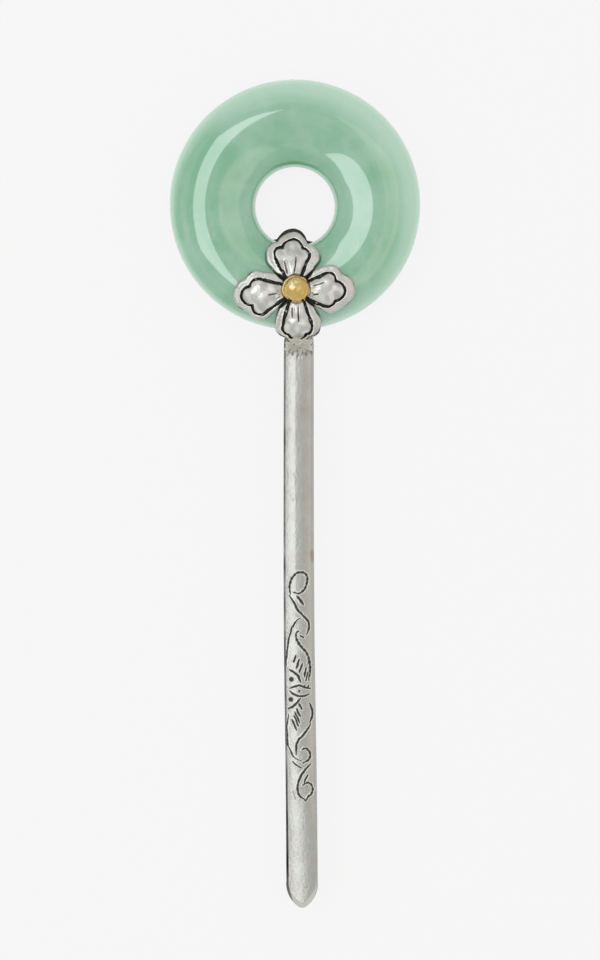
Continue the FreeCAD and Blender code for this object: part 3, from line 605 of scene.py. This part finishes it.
# %% One petal's skin
def petal_skin(key, rays, behind, seed):
    """A petal's closed skin: rays round its middle, and a path from the field's top to the underside."""
    turn, start, field, groove, rim = petal_outlines(key, rays, behind, seed)
    far, high, part_of = petal_path(field, groove, rim)
    a = radians(PETALS[key][0])
    across, along = far * cos(turn), start + far * sin(turn)
    x = along * cos(a) + across * sin(a)
    y = along * sin(a) - across * cos(a)
    away = hypot(x, y)
    on_field = part_of == FIELD
    on_top = (part_of <= RIM) * 1.0
    uneven = 0.022 * ripple(x, y, 1.7, seed + 1) * where(on_field, 1.0, 0.3) + 0.003 * ripple(x, y, 0.5, seed + 2)
    high = high + on_top * uneven
    vein = zeros(x.shape)
    for points in VEINS:
        near, part = from_line(x, y, points)
        ends = step(part, -0.01, 0.15) * step(1 - part, -0.01, 0.25)
        vein = maximum(vein, bell(near, 0.065 + 0.045 * part) * ends)
        high = high + on_field * 0.07 * bell(near - 0.22, 0.13) * ends
    vein = vein * on_field
    high = high - 0.15 * vein - on_top * 0.25 * step(1.9 - away, 0, 0.4)
    in_parting = 0.9 * step(3.9 - away, 0, 1.3) * step(far, rim - 0.45, rim - 0.1)
    # painted shade: the rim's outer edge is darkened, besides patina in the partings
    rim_oxide = 0.12 * ripple(x, y, 2.0, seed + 5) + 0.47 * step(far, rim - 0.22, rim - 0.02) + in_parting
    # painted shade as well as patina: the walls and undersides are darkened
    oxide = np.choose(part_of, [0.80 * vein + 0.4 * step(far / field, 0.985, 1.0), 0.95, 1.0, 0.75,
                                rim_oxide, 0.42 + 0.4 * step(0.5 - high, 0, 0.4), 0.75])
    oxide = oxide - (part_of == FLOOR) * 0.55 * step(ripple(x, y, 0.9, seed + 8), 1.3, 1.8)
    # painted shade: the tops next to the collar and the walls near the middle are darkened
    oxide = oxide + 0.6 * on_top * step(2.24 - away, 0, 0.2) + (part_of == WALL) * step(4.2 - away, 0, 0.8)
    if key == "lower":
        high = high - on_top * LOWERED * step(along, *LOWERED_FROM)
    rub = on_field * clip(0.20 + 0.32 * ripple(x, y, 1.5, seed + 9), 0, 0.7)
    # the lip is rubbed bright, and the same mark paints a highlight along it
    rub = rub + (part_of == RIM) * bell(far - groove - 0.09, 0.10) * (0.75 + 0.25 * ripple(x, y, 1.0, seed + 6))
    return skin(bend(x, y, high, behind), oxide=oxide, rub=rub, rust=0.0)


# %% [markdown]
# Under the bead the four necks run together in a small dark boss, which closes the gaps between them.


# %% The flowers
def boss_skin(behind):
    """A low round boss about the rivet: discs whose radius and height follow a short list."""
    turn = linspace(0, 2 * pi, 48, endpoint=False)
    outline = np.array([(0.7, 0.60), (1.9, 0.58), (2.25, 0.42), (2.3, 0.1), (2.2, 0.02), (0.7, 0.0)])
    x, y = outline[:, :1] * cos(turn), outline[:, :1] * sin(turn)
    return skin(bend(x, y, outline[:, 1:] + 0 * x, behind), oxide=1.0, rub=0.0, rust=0.0)


def flower(name, rays, behind, node):
    """Four petals and the boss in one mesh."""
    skins = [petal_skin(key, rays, behind, seed) for seed, key in enumerate(PETALS, start=20 + 40 * behind)]
    build(name, skins + [boss_skin(behind)], cast_silver, "silver", node)


flower("front_flower_cast", 352, False, "front_flower")
flower("back_flower_cast", 264, True, "back_flower")

# %% [markdown]
# ## The gold bead on its collar
# The bead is a little gold cap, pressed over the rivet's end: a dome with a foot, dented by the tool and creased where
# the metal folded. It leans, and two creamy spots on its dome are a painted highlight. A Screw modifier could turn
# such a profile, but here radius and height can be changed by where the point is.


# %% The bead
def turned(profile, rays):
    """Carries a profile of (radius, height) round the upright axis. Gives turn, radius, x, y and height."""
    profile = np.asarray(profile, dtype=float)
    turn = linspace(0, 2 * pi, rays, endpoint=False)
    radius, height = profile[:, :1] + 0 * turn, profile[:, 1:] + 0 * turn
    turn = turn + 0 * radius
    return turn, radius, radius * cos(turn), radius * sin(turn), height


low, high = boxes["gold_bead"]
middle, base, top = (low + high) / 2, low[2], high[2]
BALL = 2.0
dome = [(BALL * sin(a), top - BALL + BALL * cos(a)) for a in linspace(0.02, 1.02, 56)]
brim, brim_high = dome[-1]
dome += [(brim + 0.05 * sin(a), brim_high - (brim_high - base) * a / 2.6) for a in linspace(0.3, 2.6, 8)]
foot = [(brim - 0.2 * k, base) for k in range(1, 8)]
turn, radius, x, y, height = turned(dome + foot, 160)
above = step(height, base + 0.05, base + 0.5)
dent = 0.028 * ripple(x, y + 0.7 * height, 1.4, 8) + 0.005 * ripple(x, y, 0.5, 9)
crease = zeros(x.shape)
for points in (((-0.25, 1.25), (0.05, 0.45)), ((0.05, 0.45), (0.75, 0.70))):
    near, part = from_line(x, y, points)
    crease = maximum(crease, bell(near, 0.11) * step(1 - part, -0.01, 0.3))
swell = 1 - above * maximum(0.016 + dent / 1.7 + 0.055 * crease, 0)
lean = (height - base) / (top - base)
points = stack([x * swell + middle[0] + 0.10 - 0.36 * lean,
                y * swell + middle[1] - 0.08 + 0.42 * lean,
                base + (height - base) * swell], axis=-1)
# painted shade: the bead's foot and its crease are darkened
low_shadow = 0.6 * step(base + 0.35 - height, 0, 0.3) + 0.42 * crease * above
# painted highlight: two creamy spots on the dome, where the lamp shines on it
painted_highlight_spots = bell(hypot(x + 0.45, y - 0.45), 0.50) + 0.6 * bell(hypot(x - 0.30, y - 0.65), 0.32)
bead_skin = skin(points, oxide=low_shadow, rub=clip(painted_highlight_spots, 0, 1) * above)
build("gold_bead_pressed", [bead_skin], gold.material, "gold", "gold_bead")

# %% [markdown]
# The collar under the bead is a thick washer with a soft, rolled lip, turned in the same way. Painted shade darkens
# the inside of its lip and its foot.

# %% The collar
low, high = boxes["bead_collar"]
middle, thick = (low + high) / 2, high[2] - low[2]
LIP_MIDDLE, LIP = 1.78, 0.21
bow = linspace(-pi / 2, pi / 2, 17)
profile = [(0.8, low[2] + 0.004), (1.4, low[2] + 0.004)]
profile += [(LIP_MIDDLE + LIP * cos(a), low[2] + thick / 2 + 0.98 * thick / 2 * sin(a)) for a in bow]
profile += [(1.4, high[2] - 0.01), (0.8, high[2] - 0.01)]
turn, radius, x, y, height = turned(profile, 160)
swell = 1 - (radius > 1.5) * 0.02 * (1 + ripple(cos(turn) * 2, sin(turn) * 2, 2.2, 12))
points = stack([x * swell * 1.02 + middle[0], y * swell * 0.95 + middle[1], height], axis=-1)
# painted shade: the inside of the lip and the foot are darkened
hollow = 0.45 * step(LIP_MIDDLE - radius, 0, 0.12) + 0.5 * step(low[2] + 0.18 - height, 0, 0.1)
build("bead_collar_rolled", [skin(points, oxide=hollow, rub=0.0)], gold.material, "gold", "bead_collar")

# %% [markdown]
# ## The rivet's head
# Behind, the rivet ends in a head that was hammered over. The pin lies on it, so its middle is flat, and its rounded
# edge bears small hammer marks.

# %% The rivet
low, high = boxes["rivet"]
STEM, HEAD_TOP = 0.75, 1.0
head = (high[0] - low[0]) / 2
bow = linspace(0, pi / 2, 9)
profile = [(0.3, high[2]), (STEM - 0.06, high[2]), (STEM, high[2] - 0.06), (STEM, HEAD_TOP), (head - 0.12, HEAD_TOP)]
profile += [(head - 0.14 + 0.14 * sin(pi / 2 - a), 0.62 + 0.3 * cos(pi / 2 - a)) for a in bow]
profile += [(head - 0.2 + 0.2 * cos(a), 0.2 - 0.2 * sin(a)) for a in bow]
profile += [(r, 0.0) for r in (1.2, 0.9, 0.6, 0.3)]
turn, radius, x, y, height = turned(profile, 96)
pressed = 0.03 * maximum(1 + ripple(x, y, 0.9, 31), 0) * step(0.6 - height, 0, 0.5) * step(radius, 0.5, 0.9)
swell = 1 - (radius > 1.3) * 0.015 * (1 + ripple(cos(turn) * 2, sin(turn) * 2, 2.0, 32))
points = stack([x * swell + RIVET[0], y * swell + RIVET[1], height + pressed], axis=-1)
rivet_skin = skin(points, oxide=0.5 * (height > 0.5), rub=0.0, rust=0.0)
build("rivet_hammered", [rivet_skin], bar_silver, "silver", "rivet")

# %% [markdown]
# ## The shank
# The shank was forged and filed from a bar: crowned in front, flatter behind, with bevelled edges and a short point.
# Its section is carried down its length, with the rings closer together where the bar is engraved.

# %% The shank's outline
low, high = boxes["shank"]
TOP_Y, END_Y, SHANK_Z = high[1], low[1], (low[2] + high[2]) / 2
HALF, HALF_THICK = (high[0] - low[0]) / 2, (high[2] - low[2]) / 2
FRONT, BACK, POINT, NOSE = 5.3, 6.5, 3.4, 0.9
RUN = POINT - NOSE
BIG = (HALF**2 + RUN**2 - NOSE**2) / (2 * (HALF - NOSE))
print("shank", round(TOP_Y, 2), round(END_Y, 2), "half width", round(HALF, 2), "point's arc", round(BIG, 2))


def half_width(y):
    """Half the shank's width at y: a neck, nearly straight sides, then a big arc that touches a round nose."""
    from_top, from_end = TOP_Y - y, y - END_Y
    sides = np.interp(from_top, [0, 1.6, TOP_Y - END_Y - POINT], [1.88, 2.075, HALF - 0.03])
    meet = NOSE - NOSE * sin(np.arctan2(RUN, BIG - HALF))
    on_big = HALF - BIG + sqrt(maximum(BIG**2 - maximum(POINT - from_end, 0) ** 2, 0))
    on_nose = sqrt(maximum(NOSE**2 - (NOSE - from_end) ** 2, 0))
    return where(from_end > POINT, sides, where(from_end > meet, on_big, on_nose))


def sag(radius, across):
    """How far an arc has sunk below its crest at a distance across."""
    return radius - sqrt(radius**2 - across**2)


# %% [markdown]
# ## The engraving
# It is a bat with its wings spread along the bar, between two scrolls, an old wish for good luck. Strokes are chains
# of points, in millimetres right of the shank's middle and down from where the pattern starts. A smooth curve is drawn
# through each, and the distance to it sinks the surface into a V and throws up a small burr on both sides.

# %% The strokes
PATTERN_Y = RING[1] - 49.55
STROKES = [
    (0.24, [(-1.3, 4.8), (-1.4, 3.55), (-1.15, 2.65), (-0.75, 2.1), (-0.4, 1.8), (0.1, 1.7), (0.65, 1.8),
            (1.05, 2.3), (1.05, 3.0), (0.85, 3.75), (0.4, 4.35), (-0.15, 4.65), (-0.95, 4.45)]),
    (0.30, [(-0.35, 5.0), (0.1, 5.6), (0.5, 6.2)]),
    (0.24, [(-1.5, 4.9), (-0.85, 5.8), (-0.4, 6.75), (0.3, 7.55), (1.1, 8.45), (1.3, 9.25), (1.2, 9.85),
            (0.85, 10.35)]),
    (0.19, [(0.15, 8.05), (-0.4, 8.4), (-0.95, 9.15), (-1.3, 10.1), (-1.6, 11.3), (-1.75, 12.4), (-1.85, 13.4),
            (-1.9, 14.7)]),
    (0.26, [(-0.15, 9.85), (-0.55, 10.3), (-0.45, 11.0), (0.0, 11.8), (0.5, 12.35), (0.95, 12.95), (1.25, 13.75),
            (1.4, 14.7), (1.4, 15.6), (1.25, 16.75)]),
    (0.18, [(0.0, 10.5), (0.65, 10.8)]),
    (0.22, [(-0.5, 13.2), (-0.9, 14.25)]),
    (0.22, [(-0.05, 13.75), (-0.5, 15.05)]),
    (0.22, [(0.35, 14.35), (-0.05, 15.7)]),
    (0.22, [(0.9, 14.9), (0.6, 16.3)]),
    (0.20, [(1.1, 15.6), (0.85, 16.85)]),
    (0.24, [(-1.5, 15.2), (-0.75, 15.7), (-0.2, 16.25), (0.15, 17.05)]),
    (0.22, [(-1.4, 17.85), (-0.75, 17.6), (-0.05, 17.45), (0.6, 17.7), (1.5, 17.9)]),
    (0.16, [(0.6, 17.7), (0.7, 17.35)]),
    (0.16, [(1.1, 17.8), (1.2, 17.4)]),
    (0.22, [(-1.5, 18.2), (-1.0, 18.6), (-0.3, 18.9), (0.3, 18.95), (0.85, 18.85), (1.3, 18.6)]),
    (0.24, [(0.05, 19.25), (-0.5, 19.9), (-1.0, 20.35), (-1.7, 20.7)]),
    (0.22, [(-0.15, 19.95), (0.25, 20.8)]),
    (0.22, [(-0.55, 20.65), (0.0, 21.8)]),
    (0.22, [(-0.75, 21.1), (-0.1, 22.65)]),
    (0.22, [(-0.9, 21.6), (-0.25, 23.15)]),
    (0.22, [(-1.15, 22.15), (-0.55, 23.7)]),
    (0.24, [(1.25, 19.85), (1.5, 20.4), (1.7, 21.05), (1.65, 21.65), (1.35, 22.65)]),
    (0.24, [(1.45, 22.8), (0.75, 23.9), (0.15, 24.6), (-0.3, 25.05), (-0.6, 25.85), (-0.65, 27.1)]),
    (0.16, [(-1.65, 21.4), (-1.8, 22.65), (-1.9, 23.3), (-1.85, 24.4), (-1.8, 25.6), (-1.5, 26.4), (-1.0, 27.4),
            (-0.35, 27.8), (0.1, 28.0)]),
    (0.22, [(0.1, 26.45), (0.6, 26.2), (1.0, 26.4), (1.25, 26.85), (1.3, 27.4), (1.05, 27.8), (0.6, 28.1),
            (0.2, 28.3)]),
    (0.16, [(-1.2, 28.0), (-0.55, 28.6), (0.2, 29.0)]),
    (0.24, [(1.4, 28.35), (0.7, 29.05), (0.1, 29.85), (-0.3, 30.65), (-0.5, 31.3), (-0.5, 32.1), (-0.4, 32.55),
            (-0.1, 33.0), (0.35, 33.25), (0.55, 33.6)]),
    (0.22, [(0.55, 33.6), (1.0, 32.9), (1.3, 32.7), (1.6, 31.9), (1.4, 31.3), (0.9, 31.0), (0.2, 31.35)]),
    (0.20, [(1.0, 29.85), (0.6, 30.5), (0.4, 31.1)]),
]
ROCKED = (0, 4, 25, 28)
EYES = [(-1.2, 16.6, 0.34), (-1.3, 19.4, 0.34), (-0.1, 18.25, 0.2), (0.85, 31.6, 0.12)]


def through(points, between=8):
    """A smooth curve through points: a cubic between each pair, with slopes from the neighbours on each side."""
    points = np.asarray(points, dtype=float)
    padded = concatenate([[2 * points[0] - points[1]], points, [2 * points[-1] - points[-2]]])
    a, b, c, d = padded[:-3, None], padded[1:-2, None], padded[2:-1, None], padded[3:, None]
    t = (np.arange(between) / between)[None, :, None]
    curve = 0.5 * (2 * b + (c - a) * t + (2 * a - 5 * b + 4 * c - d) * t**2 + (3 * b - a - 3 * c + d) * t**3)
    return concatenate([curve.reshape(-1, 2), points[-1:]])


def engrave(x, y):
    """How deep the cut is at each place, 0 to 1, and how high its burr, from the distance to the strokes.

    The graver was rocked as it went, so a stroke's width swells and narrows about twice in a millimetre."""
    down = PATTERN_Y - y
    x = x - 0.10 * step(22 - down, 0, 16)
    cut, burr = zeros(x.shape), zeros(x.shape)
    wander = 0.025 * ripple(x, down, 1.1, 41)
    for number, (width, points) in enumerate(STROKES):
        curve = through(points)
        near, part = from_line(x + wander, down, curve)
        length = hypot(*np.diff(curve, axis=0).T).sum()
        rocked = (part * length / 0.62 + number * 0.37) % 1.0
        ends = step(part, -0.02, 0.2) * step(1 - part, -0.05, 0.25)
        rock = 0.85 if number in ROCKED else 0.30
        half = width / 2 * (0.60 + 0.70 * ends) * (1.10 + rock * (rocked - 0.5))
        cut = maximum(cut, clip(1.15 - (near / half) ** 2, 0, 1))
        burr = maximum(burr, bell(near - half * 1.4, 0.06))
    for across, along, radius in EYES:
        near = hypot(x - across, down - along)
        ringed = 1.0 - 0.3 * bell(near - 0.55 * radius, 0.05)
        cut = maximum(cut, ringed * step(radius - near, -0.02, 0.07))
    return cut, burr * (cut < 0.05)


# %% [markdown]
# Round the section the path goes across the front, down the side, back across the back and up the other side. The
# crest lies right of the middle, and further right near the point, where a filed flat runs beside it. The bevel
# follows the distance to the outline, and so its two big arcs and small nose.


# %% The shank's section
def from_outline(x, y):
    """How far inside the shank's outline a place is: from the side, arc or nose that is nearest."""
    beyond = minimum(y - (END_Y + POINT), 0)
    from_side = where(beyond < 0, BIG - hypot(abs(x) + BIG - HALF, beyond), half_width(y) - abs(x))
    from_nose = NOSE - hypot(x, y - END_Y - NOSE)
    at_nose = abs(x) * (RUN / (BIG - HALF)) < END_Y + NOSE - y
    return maximum(where(at_nose, from_nose, from_side), 0)


def bevel_width(y):
    """The front bevel is narrow along the sides and widens at the point."""
    return 0.34 + 0.40 * step(END_Y + 3.6 - y, 0, 3.0)


def shank_section(y, across):
    """Points x and z of the section at each y. Its front is at the given parts of the half width."""
    half = half_width(y) * where(y > TOP_Y - 0.07, 0.985, 1.0)
    front_x = half * across
    bevel = 1 - clip(from_outline(front_x, y + 0 * front_x) / bevel_width(y), 0, 1)
    near_point = step(-y, 38, 52)
    crest, front = 0.40 + 1.0 * near_point, FRONT + 2.7 * near_point
    past_ridge = clip(front_x + 0.46, 0, 0.9)
    flat = 0.09 * (past_ridge - past_ridge**2 / 1.8) * step(y, -30, -8)
    front_z = HALF_THICK - sag(front, front_x - crest) - 0.30 * bevel - flat
    back_x = half * linspace(1, -1, 17)
    back_bevel = 1 - clip(from_outline(back_x, y + 0 * back_x) / 0.4, 0, 1)
    back_z = -HALF_THICK + sag(BACK, back_x) + 0.22 * back_bevel
    down = np.array([[0.25, 0.5, 0.75]])
    side_x = half * (1 + 0.006 * sin(pi * down))
    side_z = front_z[:, -1:] + (back_z[:, :1] - front_z[:, -1:]) * down
    x = concatenate([front_x, side_x, back_x, -side_x], axis=1)
    return x, concatenate([front_z, side_z, back_z, side_z[:, ::-1]], axis=1)


# %% [markdown]
# Years of wear left pits, scratches, a dent and a rusty spot. A band of painted shade runs down the left edge, and the
# metal just below the solder is darkened in specks, which dims the bright band there. Burrs, tip and the left bevel's
# edge are rubbed bright, and along that edge the brightening is also a painted highlight. The bar leans a little to
# the right, as it was soldered by eye.

# %% The shank's skin
PITS = [(-1.00, -49.15, 0.10), (2.10, -52.55, 0.14), (-1.80, -48.2, 0.09), (-0.45, 11.2, 0.10), (1.15, -2.9, 0.08),
        (0.55, 15.3, 0.07), (0.9, -38.0, 0.06), (-0.6, 5.9, 0.07)]
SCRATCHES = [[(-1.40, -0.35), (-1.0, -0.75), (-0.55, -0.95)], [(-0.65, 2.85), (-0.30, 2.10)],
             [(-1.3, -0.1), (-0.95, -0.5)], [(-1.2, -41.5), (-0.8, -42.6)]]


def pitted(x, y, pits):
    """How deep round pits (across, along, radius) are at each place, 0 to 1."""
    return np.max([bell(hypot(x - across, y - along), radius) for across, along, radius in pits], axis=0)


def shank_skin():
    """The shank's closed skin, ring by ring from the point to the top."""
    start, end = PATTERN_Y - 1.2, PATTERN_Y - 34.2
    y = concatenate([END_Y + np.array([0.003, 0.02, 0.05, 0.09]), linspace(END_Y + 0.14, END_Y + 4.2, 72),
                     linspace(END_Y + 4.3, end, 44)[:-1], linspace(end, start, 545)[:-1],
                     linspace(start, TOP_Y - 0.1, 190), [TOP_Y - 0.04, TOP_Y]])[:, None]
    across = concatenate([linspace(-1, -0.84, 6)[:-1], linspace(-0.84, 0.84, 75),
                          linspace(0.84, 1, 6)[1:]])
    x, z = shank_section(y, across)
    y = y + 0 * x
    on_front = zeros(x.shape)
    on_front[:, :len(across)] = minimum(1, (1 - abs(across)) * 12)
    cut, burr = engrave(x, y)
    cut, burr = cut * on_front, burr * on_front
    forged = 0.005 * ripple(x, y, 3.1, 51) + 0.006 * ripple(x * 2, y, 7.0, 52) + 0.0025 * ripple(x, y, 0.6, 54)
    scratch = np.max([bell(from_line(x, y, points)[0], 0.055) for points in SCRATCHES], axis=0)
    marred = maximum(scratch, pitted(x, y, PITS))
    dent = bell(hypot(x - 0.12, y - 18.95) - 0.24, 0.12) * step(y, 18.7, 18.95)
    z = z + on_front * (forged - 0.10 * cut + 0.025 * burr - 0.04 * marred - 0.05 * dent)

    bevel_edge = from_outline(x, y) - bevel_width(y)
    rust = 0.85 * bell(x - 1.85, 0.35) * bell(y + 8.7, 1.2)
    # painted shade: a dark band down the bar's left edge
    painted_shade_left_edge = (0.57 + 0.04 * ripple(0 * x, y, 4.5, 58)) * step(y, END_Y + 0.5, END_Y + 6)
    painted_shade_left_edge = painted_shade_left_edge * step(-x / half_width(y), 0.80, 0.90)
    under_solder = on_front * (0.48 + 0.05 * ripple(x, y, 0.8, 59))
    under_solder = under_solder * step(y + 0.15 * ripple(x, 0 * y, 0.9, 60), 18.2, 19.5)
    beneath = zeros(x.shape)
    beneath[:, len(across):] = 0.22
    oxide = np.maximum.reduce([0.92 * cut, painted_shade_left_edge, 0.55 * marred * on_front, 0.45 * dent, under_solder, beneath])
    tip = step(END_Y + 4.5 - y, 0, 2.5) * step(-bevel_edge - 0.02, 0, 0.05)
    # painted highlight as well as wear: a bright line along the left bevel's edge
    bevel_rub = 0.6 * bell(bevel_edge, 0.06) * step(0.4 - x, 0, 1)
    rub = on_front * clip(0.5 * burr + bevel_rub + 0.50 * tip, 0, 1)
    up = (y - END_Y) / (TOP_Y - END_Y)
    aside = 0.05 + 0.33 * up - 0.20 * sin(pi * up) * step(up, 0.1, 0.5)
    return skin(stack([x + aside, y, z + SHANK_Z], axis=-1), oxide=oxide, rub=rub, rust=rust)


build("shank_engraved", [shank_skin()], bar_silver, "silver", "shank")

# %% [markdown]
# ## The solder
# Silver solder was melted into the corner between each lowest petal and the shank, and froze there in lumps, with pits
# where the flux boiled and a ragged lower edge. Each patch is a mound on rays from its middle.

# %% Solder
SOLDER_X, SOLDER_Y, SOLDER_HALF_X, SOLDER_HALF_Y = 0.36, 20.55, 1.86, 1.03
SOLDER_PITS = [(-0.35, 20.65, 0.13), (1.05, 20.60, 0.12), (-1.05, 21.15, 0.15), (0.5, 20.1, 0.1)]


def solder_skin(behind, seed):
    """A low mound: its rim lies on the metal below, its middle fills the step between petal and shank."""
    turn = linspace(0, 2 * pi, 200, endpoint=False)
    s = linspace(0, 1, 56)[1:, None]
    corner = (abs(cos(turn)) ** 4 + abs(sin(turn)) ** 4) ** (-1 / 4)
    ragged = 0.12 + 0.12 * step(-sin(turn), 0, 1)
    ragged = ragged * ripple(3 * cos(turn), 3 * sin(turn), 1.3, seed)
    x = SOLDER_X + s * (corner * SOLDER_HALF_X + ragged) * cos(turn)
    y = SOLDER_Y + s * (corner * SOLDER_HALF_Y + ragged) * sin(turn)
    bar = HALF_THICK - sag(FRONT, clip(x - 0.33, -2, 2))
    petal = bend(x, y - RIVET[1], PLATE - LOWERED * step(RIVET[1] - y, *LOWERED_FROM))[..., 2] - RING[2]
    lumps = 0.030 * ripple(x, y, 0.9, seed + 2) + 0.010 * ripple(x, y, 0.35, seed + 3)
    rounded = 0.35 * step(abs(x - SOLDER_X), 1.3, 1.9) ** 2
    filled = bar + (petal + 0.03 - bar) * step(y, 19.4, 20.75) - rounded * step(y, 19.3, 20.6)
    pit = pitted(x, y, SOLDER_PITS)
    z = filled + 0.06 * (1 - s**2) + lumps * (1 - s) - 0.07 * step(s + 0 * x, 0.70, 1.0) - 0.09 * pit
    low = stack([x[-1], y[-1], 0 * x[-1] + HALF_THICK - 0.55], axis=-1)[None]
    points = concatenate([stack([x, y, z], axis=-1), low])
    points = points * (1, 1, -1 if behind else 1) + (0, 0, SHANK_Z)
    oxide = concatenate([0.7 * pit, np.full((1, len(turn)), 0.5)])
    rust = concatenate([0.45 * step(y, 21.2, 21.8), zeros((1, len(turn)))])
    return skin(points, oxide=oxide, rub=0.0, rust=rust)


build("front_solder_run", [solder_skin(False, 61)], solder_silver, "solder", "front_solder")
build("back_solder_run", [solder_skin(True, 71)], solder_silver, "solder", "back_solder")

# %% [markdown]
# ## The table
# The pin lies on white card. Where the camera or a reflection sees it, the card mostly glows an even white, and the
# little that is left of its matt surface keeps the pin's soft shadow.

# %% Floor
SHEET = 2
card = Finish("white_card")
card.set({"Roughness": 0.9, "Base Color": (0.86, 0.86, 0.86, 1.0), "Specular IOR Level": 0.1})
seen = card.add("LightPath", output="Is Camera Ray")
for kind in ("Is Glossy Ray", "Is Transmission Ray"):
    seen = seen.maths("MAXIMUM", seen, card.add("LightPath", output=kind))
glow = card.add("Emission", {}, {"Color": (0.940, 0.940, 0.940, 1.0)})
matt = Socket(card, card.shader.outputs[0])
card.feed(card.end.inputs["Surface"], card.add("MixShader", {}, {0: seen * 0.91, 1: matt, 2: glow}))
floor_mesh = bpy.data.meshes.new("table")
corners = [(-SHEET, -SHEET, 0), (SHEET, -SHEET, 0), (SHEET, SHEET, 0), (-SHEET, SHEET, 0)]
floor_mesh.from_pydata(corners, [], [(0, 1, 2, 3)])
floor_mesh.materials.append(card.material)
floor = put("table", floor_mesh)

# %% [markdown]
# ## Light
# Small bright things are lit by what they mirror. One long soft box on the left gives the bar and the ring their long
# highlights, and a dimmer, warmer card on the right and an even grey room do the rest.


# %% Lamps and room
def soft_box(name, place, turned_by, size, brightness, colour):
    """A rectangular lamp that hangs level, in metres. For a surface of that brightness, where 1 is white, the
    power is brightness times pi times the area."""
    lamp = bpy.data.lights.new(name, "AREA")
    lamp.shape = "RECTANGLE"
    lamp.size, lamp.size_y = size
    lamp.energy = brightness * pi * size[0] * size[1]
    lamp.color = colour
    thing = put(name, lamp)
    thing.location = place
    thing.rotation_euler = (0, 0, radians(turned_by))
    thing.visible_camera = False
    print(name, round(lamp.energy, 3), "W")


soft_box("long_soft_box", (-0.2444, 0.058, 0.44), -19, (0.300, 0.510), 1.1, (0.97, 0.99, 1.0))
soft_box("warm_card", (0.300, 0.0, 0.44), 0, (0.400, 0.600), 0.26, (1, 0.78, 0.60))
world = bpy.data.worlds.new("room")
world.use_nodes = True
world.node_tree.nodes["Background"].inputs["Color"].default_value = (0.75, 0.75, 0.735, 1.0)
world.node_tree.nodes["Background"].inputs["Strength"].default_value = 1.0
bpy.context.scene.world = world
bpy.context.scene.view_settings.view_transform = "Standard"

# %% [markdown]
# ## Camera
# The camera looks straight down from a good distance, so that the parts keep their sizes. It is turned by half a
# degree, because the pin lies a little aslant.

# %% Camera
ROLL = radians(0.56)
DISTANCE, TALL, SENSOR = 600.0, 133.9, 36.0
RIGHT_OF_RING, BELOW_RING = 0.70, 38.39
right, upward = np.array([cos(ROLL), -sin(ROLL)]), np.array([sin(ROLL), cos(ROLL)])
over = RING[:2] + RIGHT_OF_RING * right - BELOW_RING * upward
camera_data = bpy.data.cameras.new("camera")
camera_data.sensor_width = SENSOR
camera_data.lens = SENSOR * DISTANCE / TALL
camera_data.clip_end = 20.0
camera = put("camera", camera_data)
camera.location = (*over * MM, (RING[2] + DISTANCE) * MM)
camera.rotation_euler = (0, 0, -ROLL)
bpy.context.scene.camera = camera
print("camera over", over.round(2))
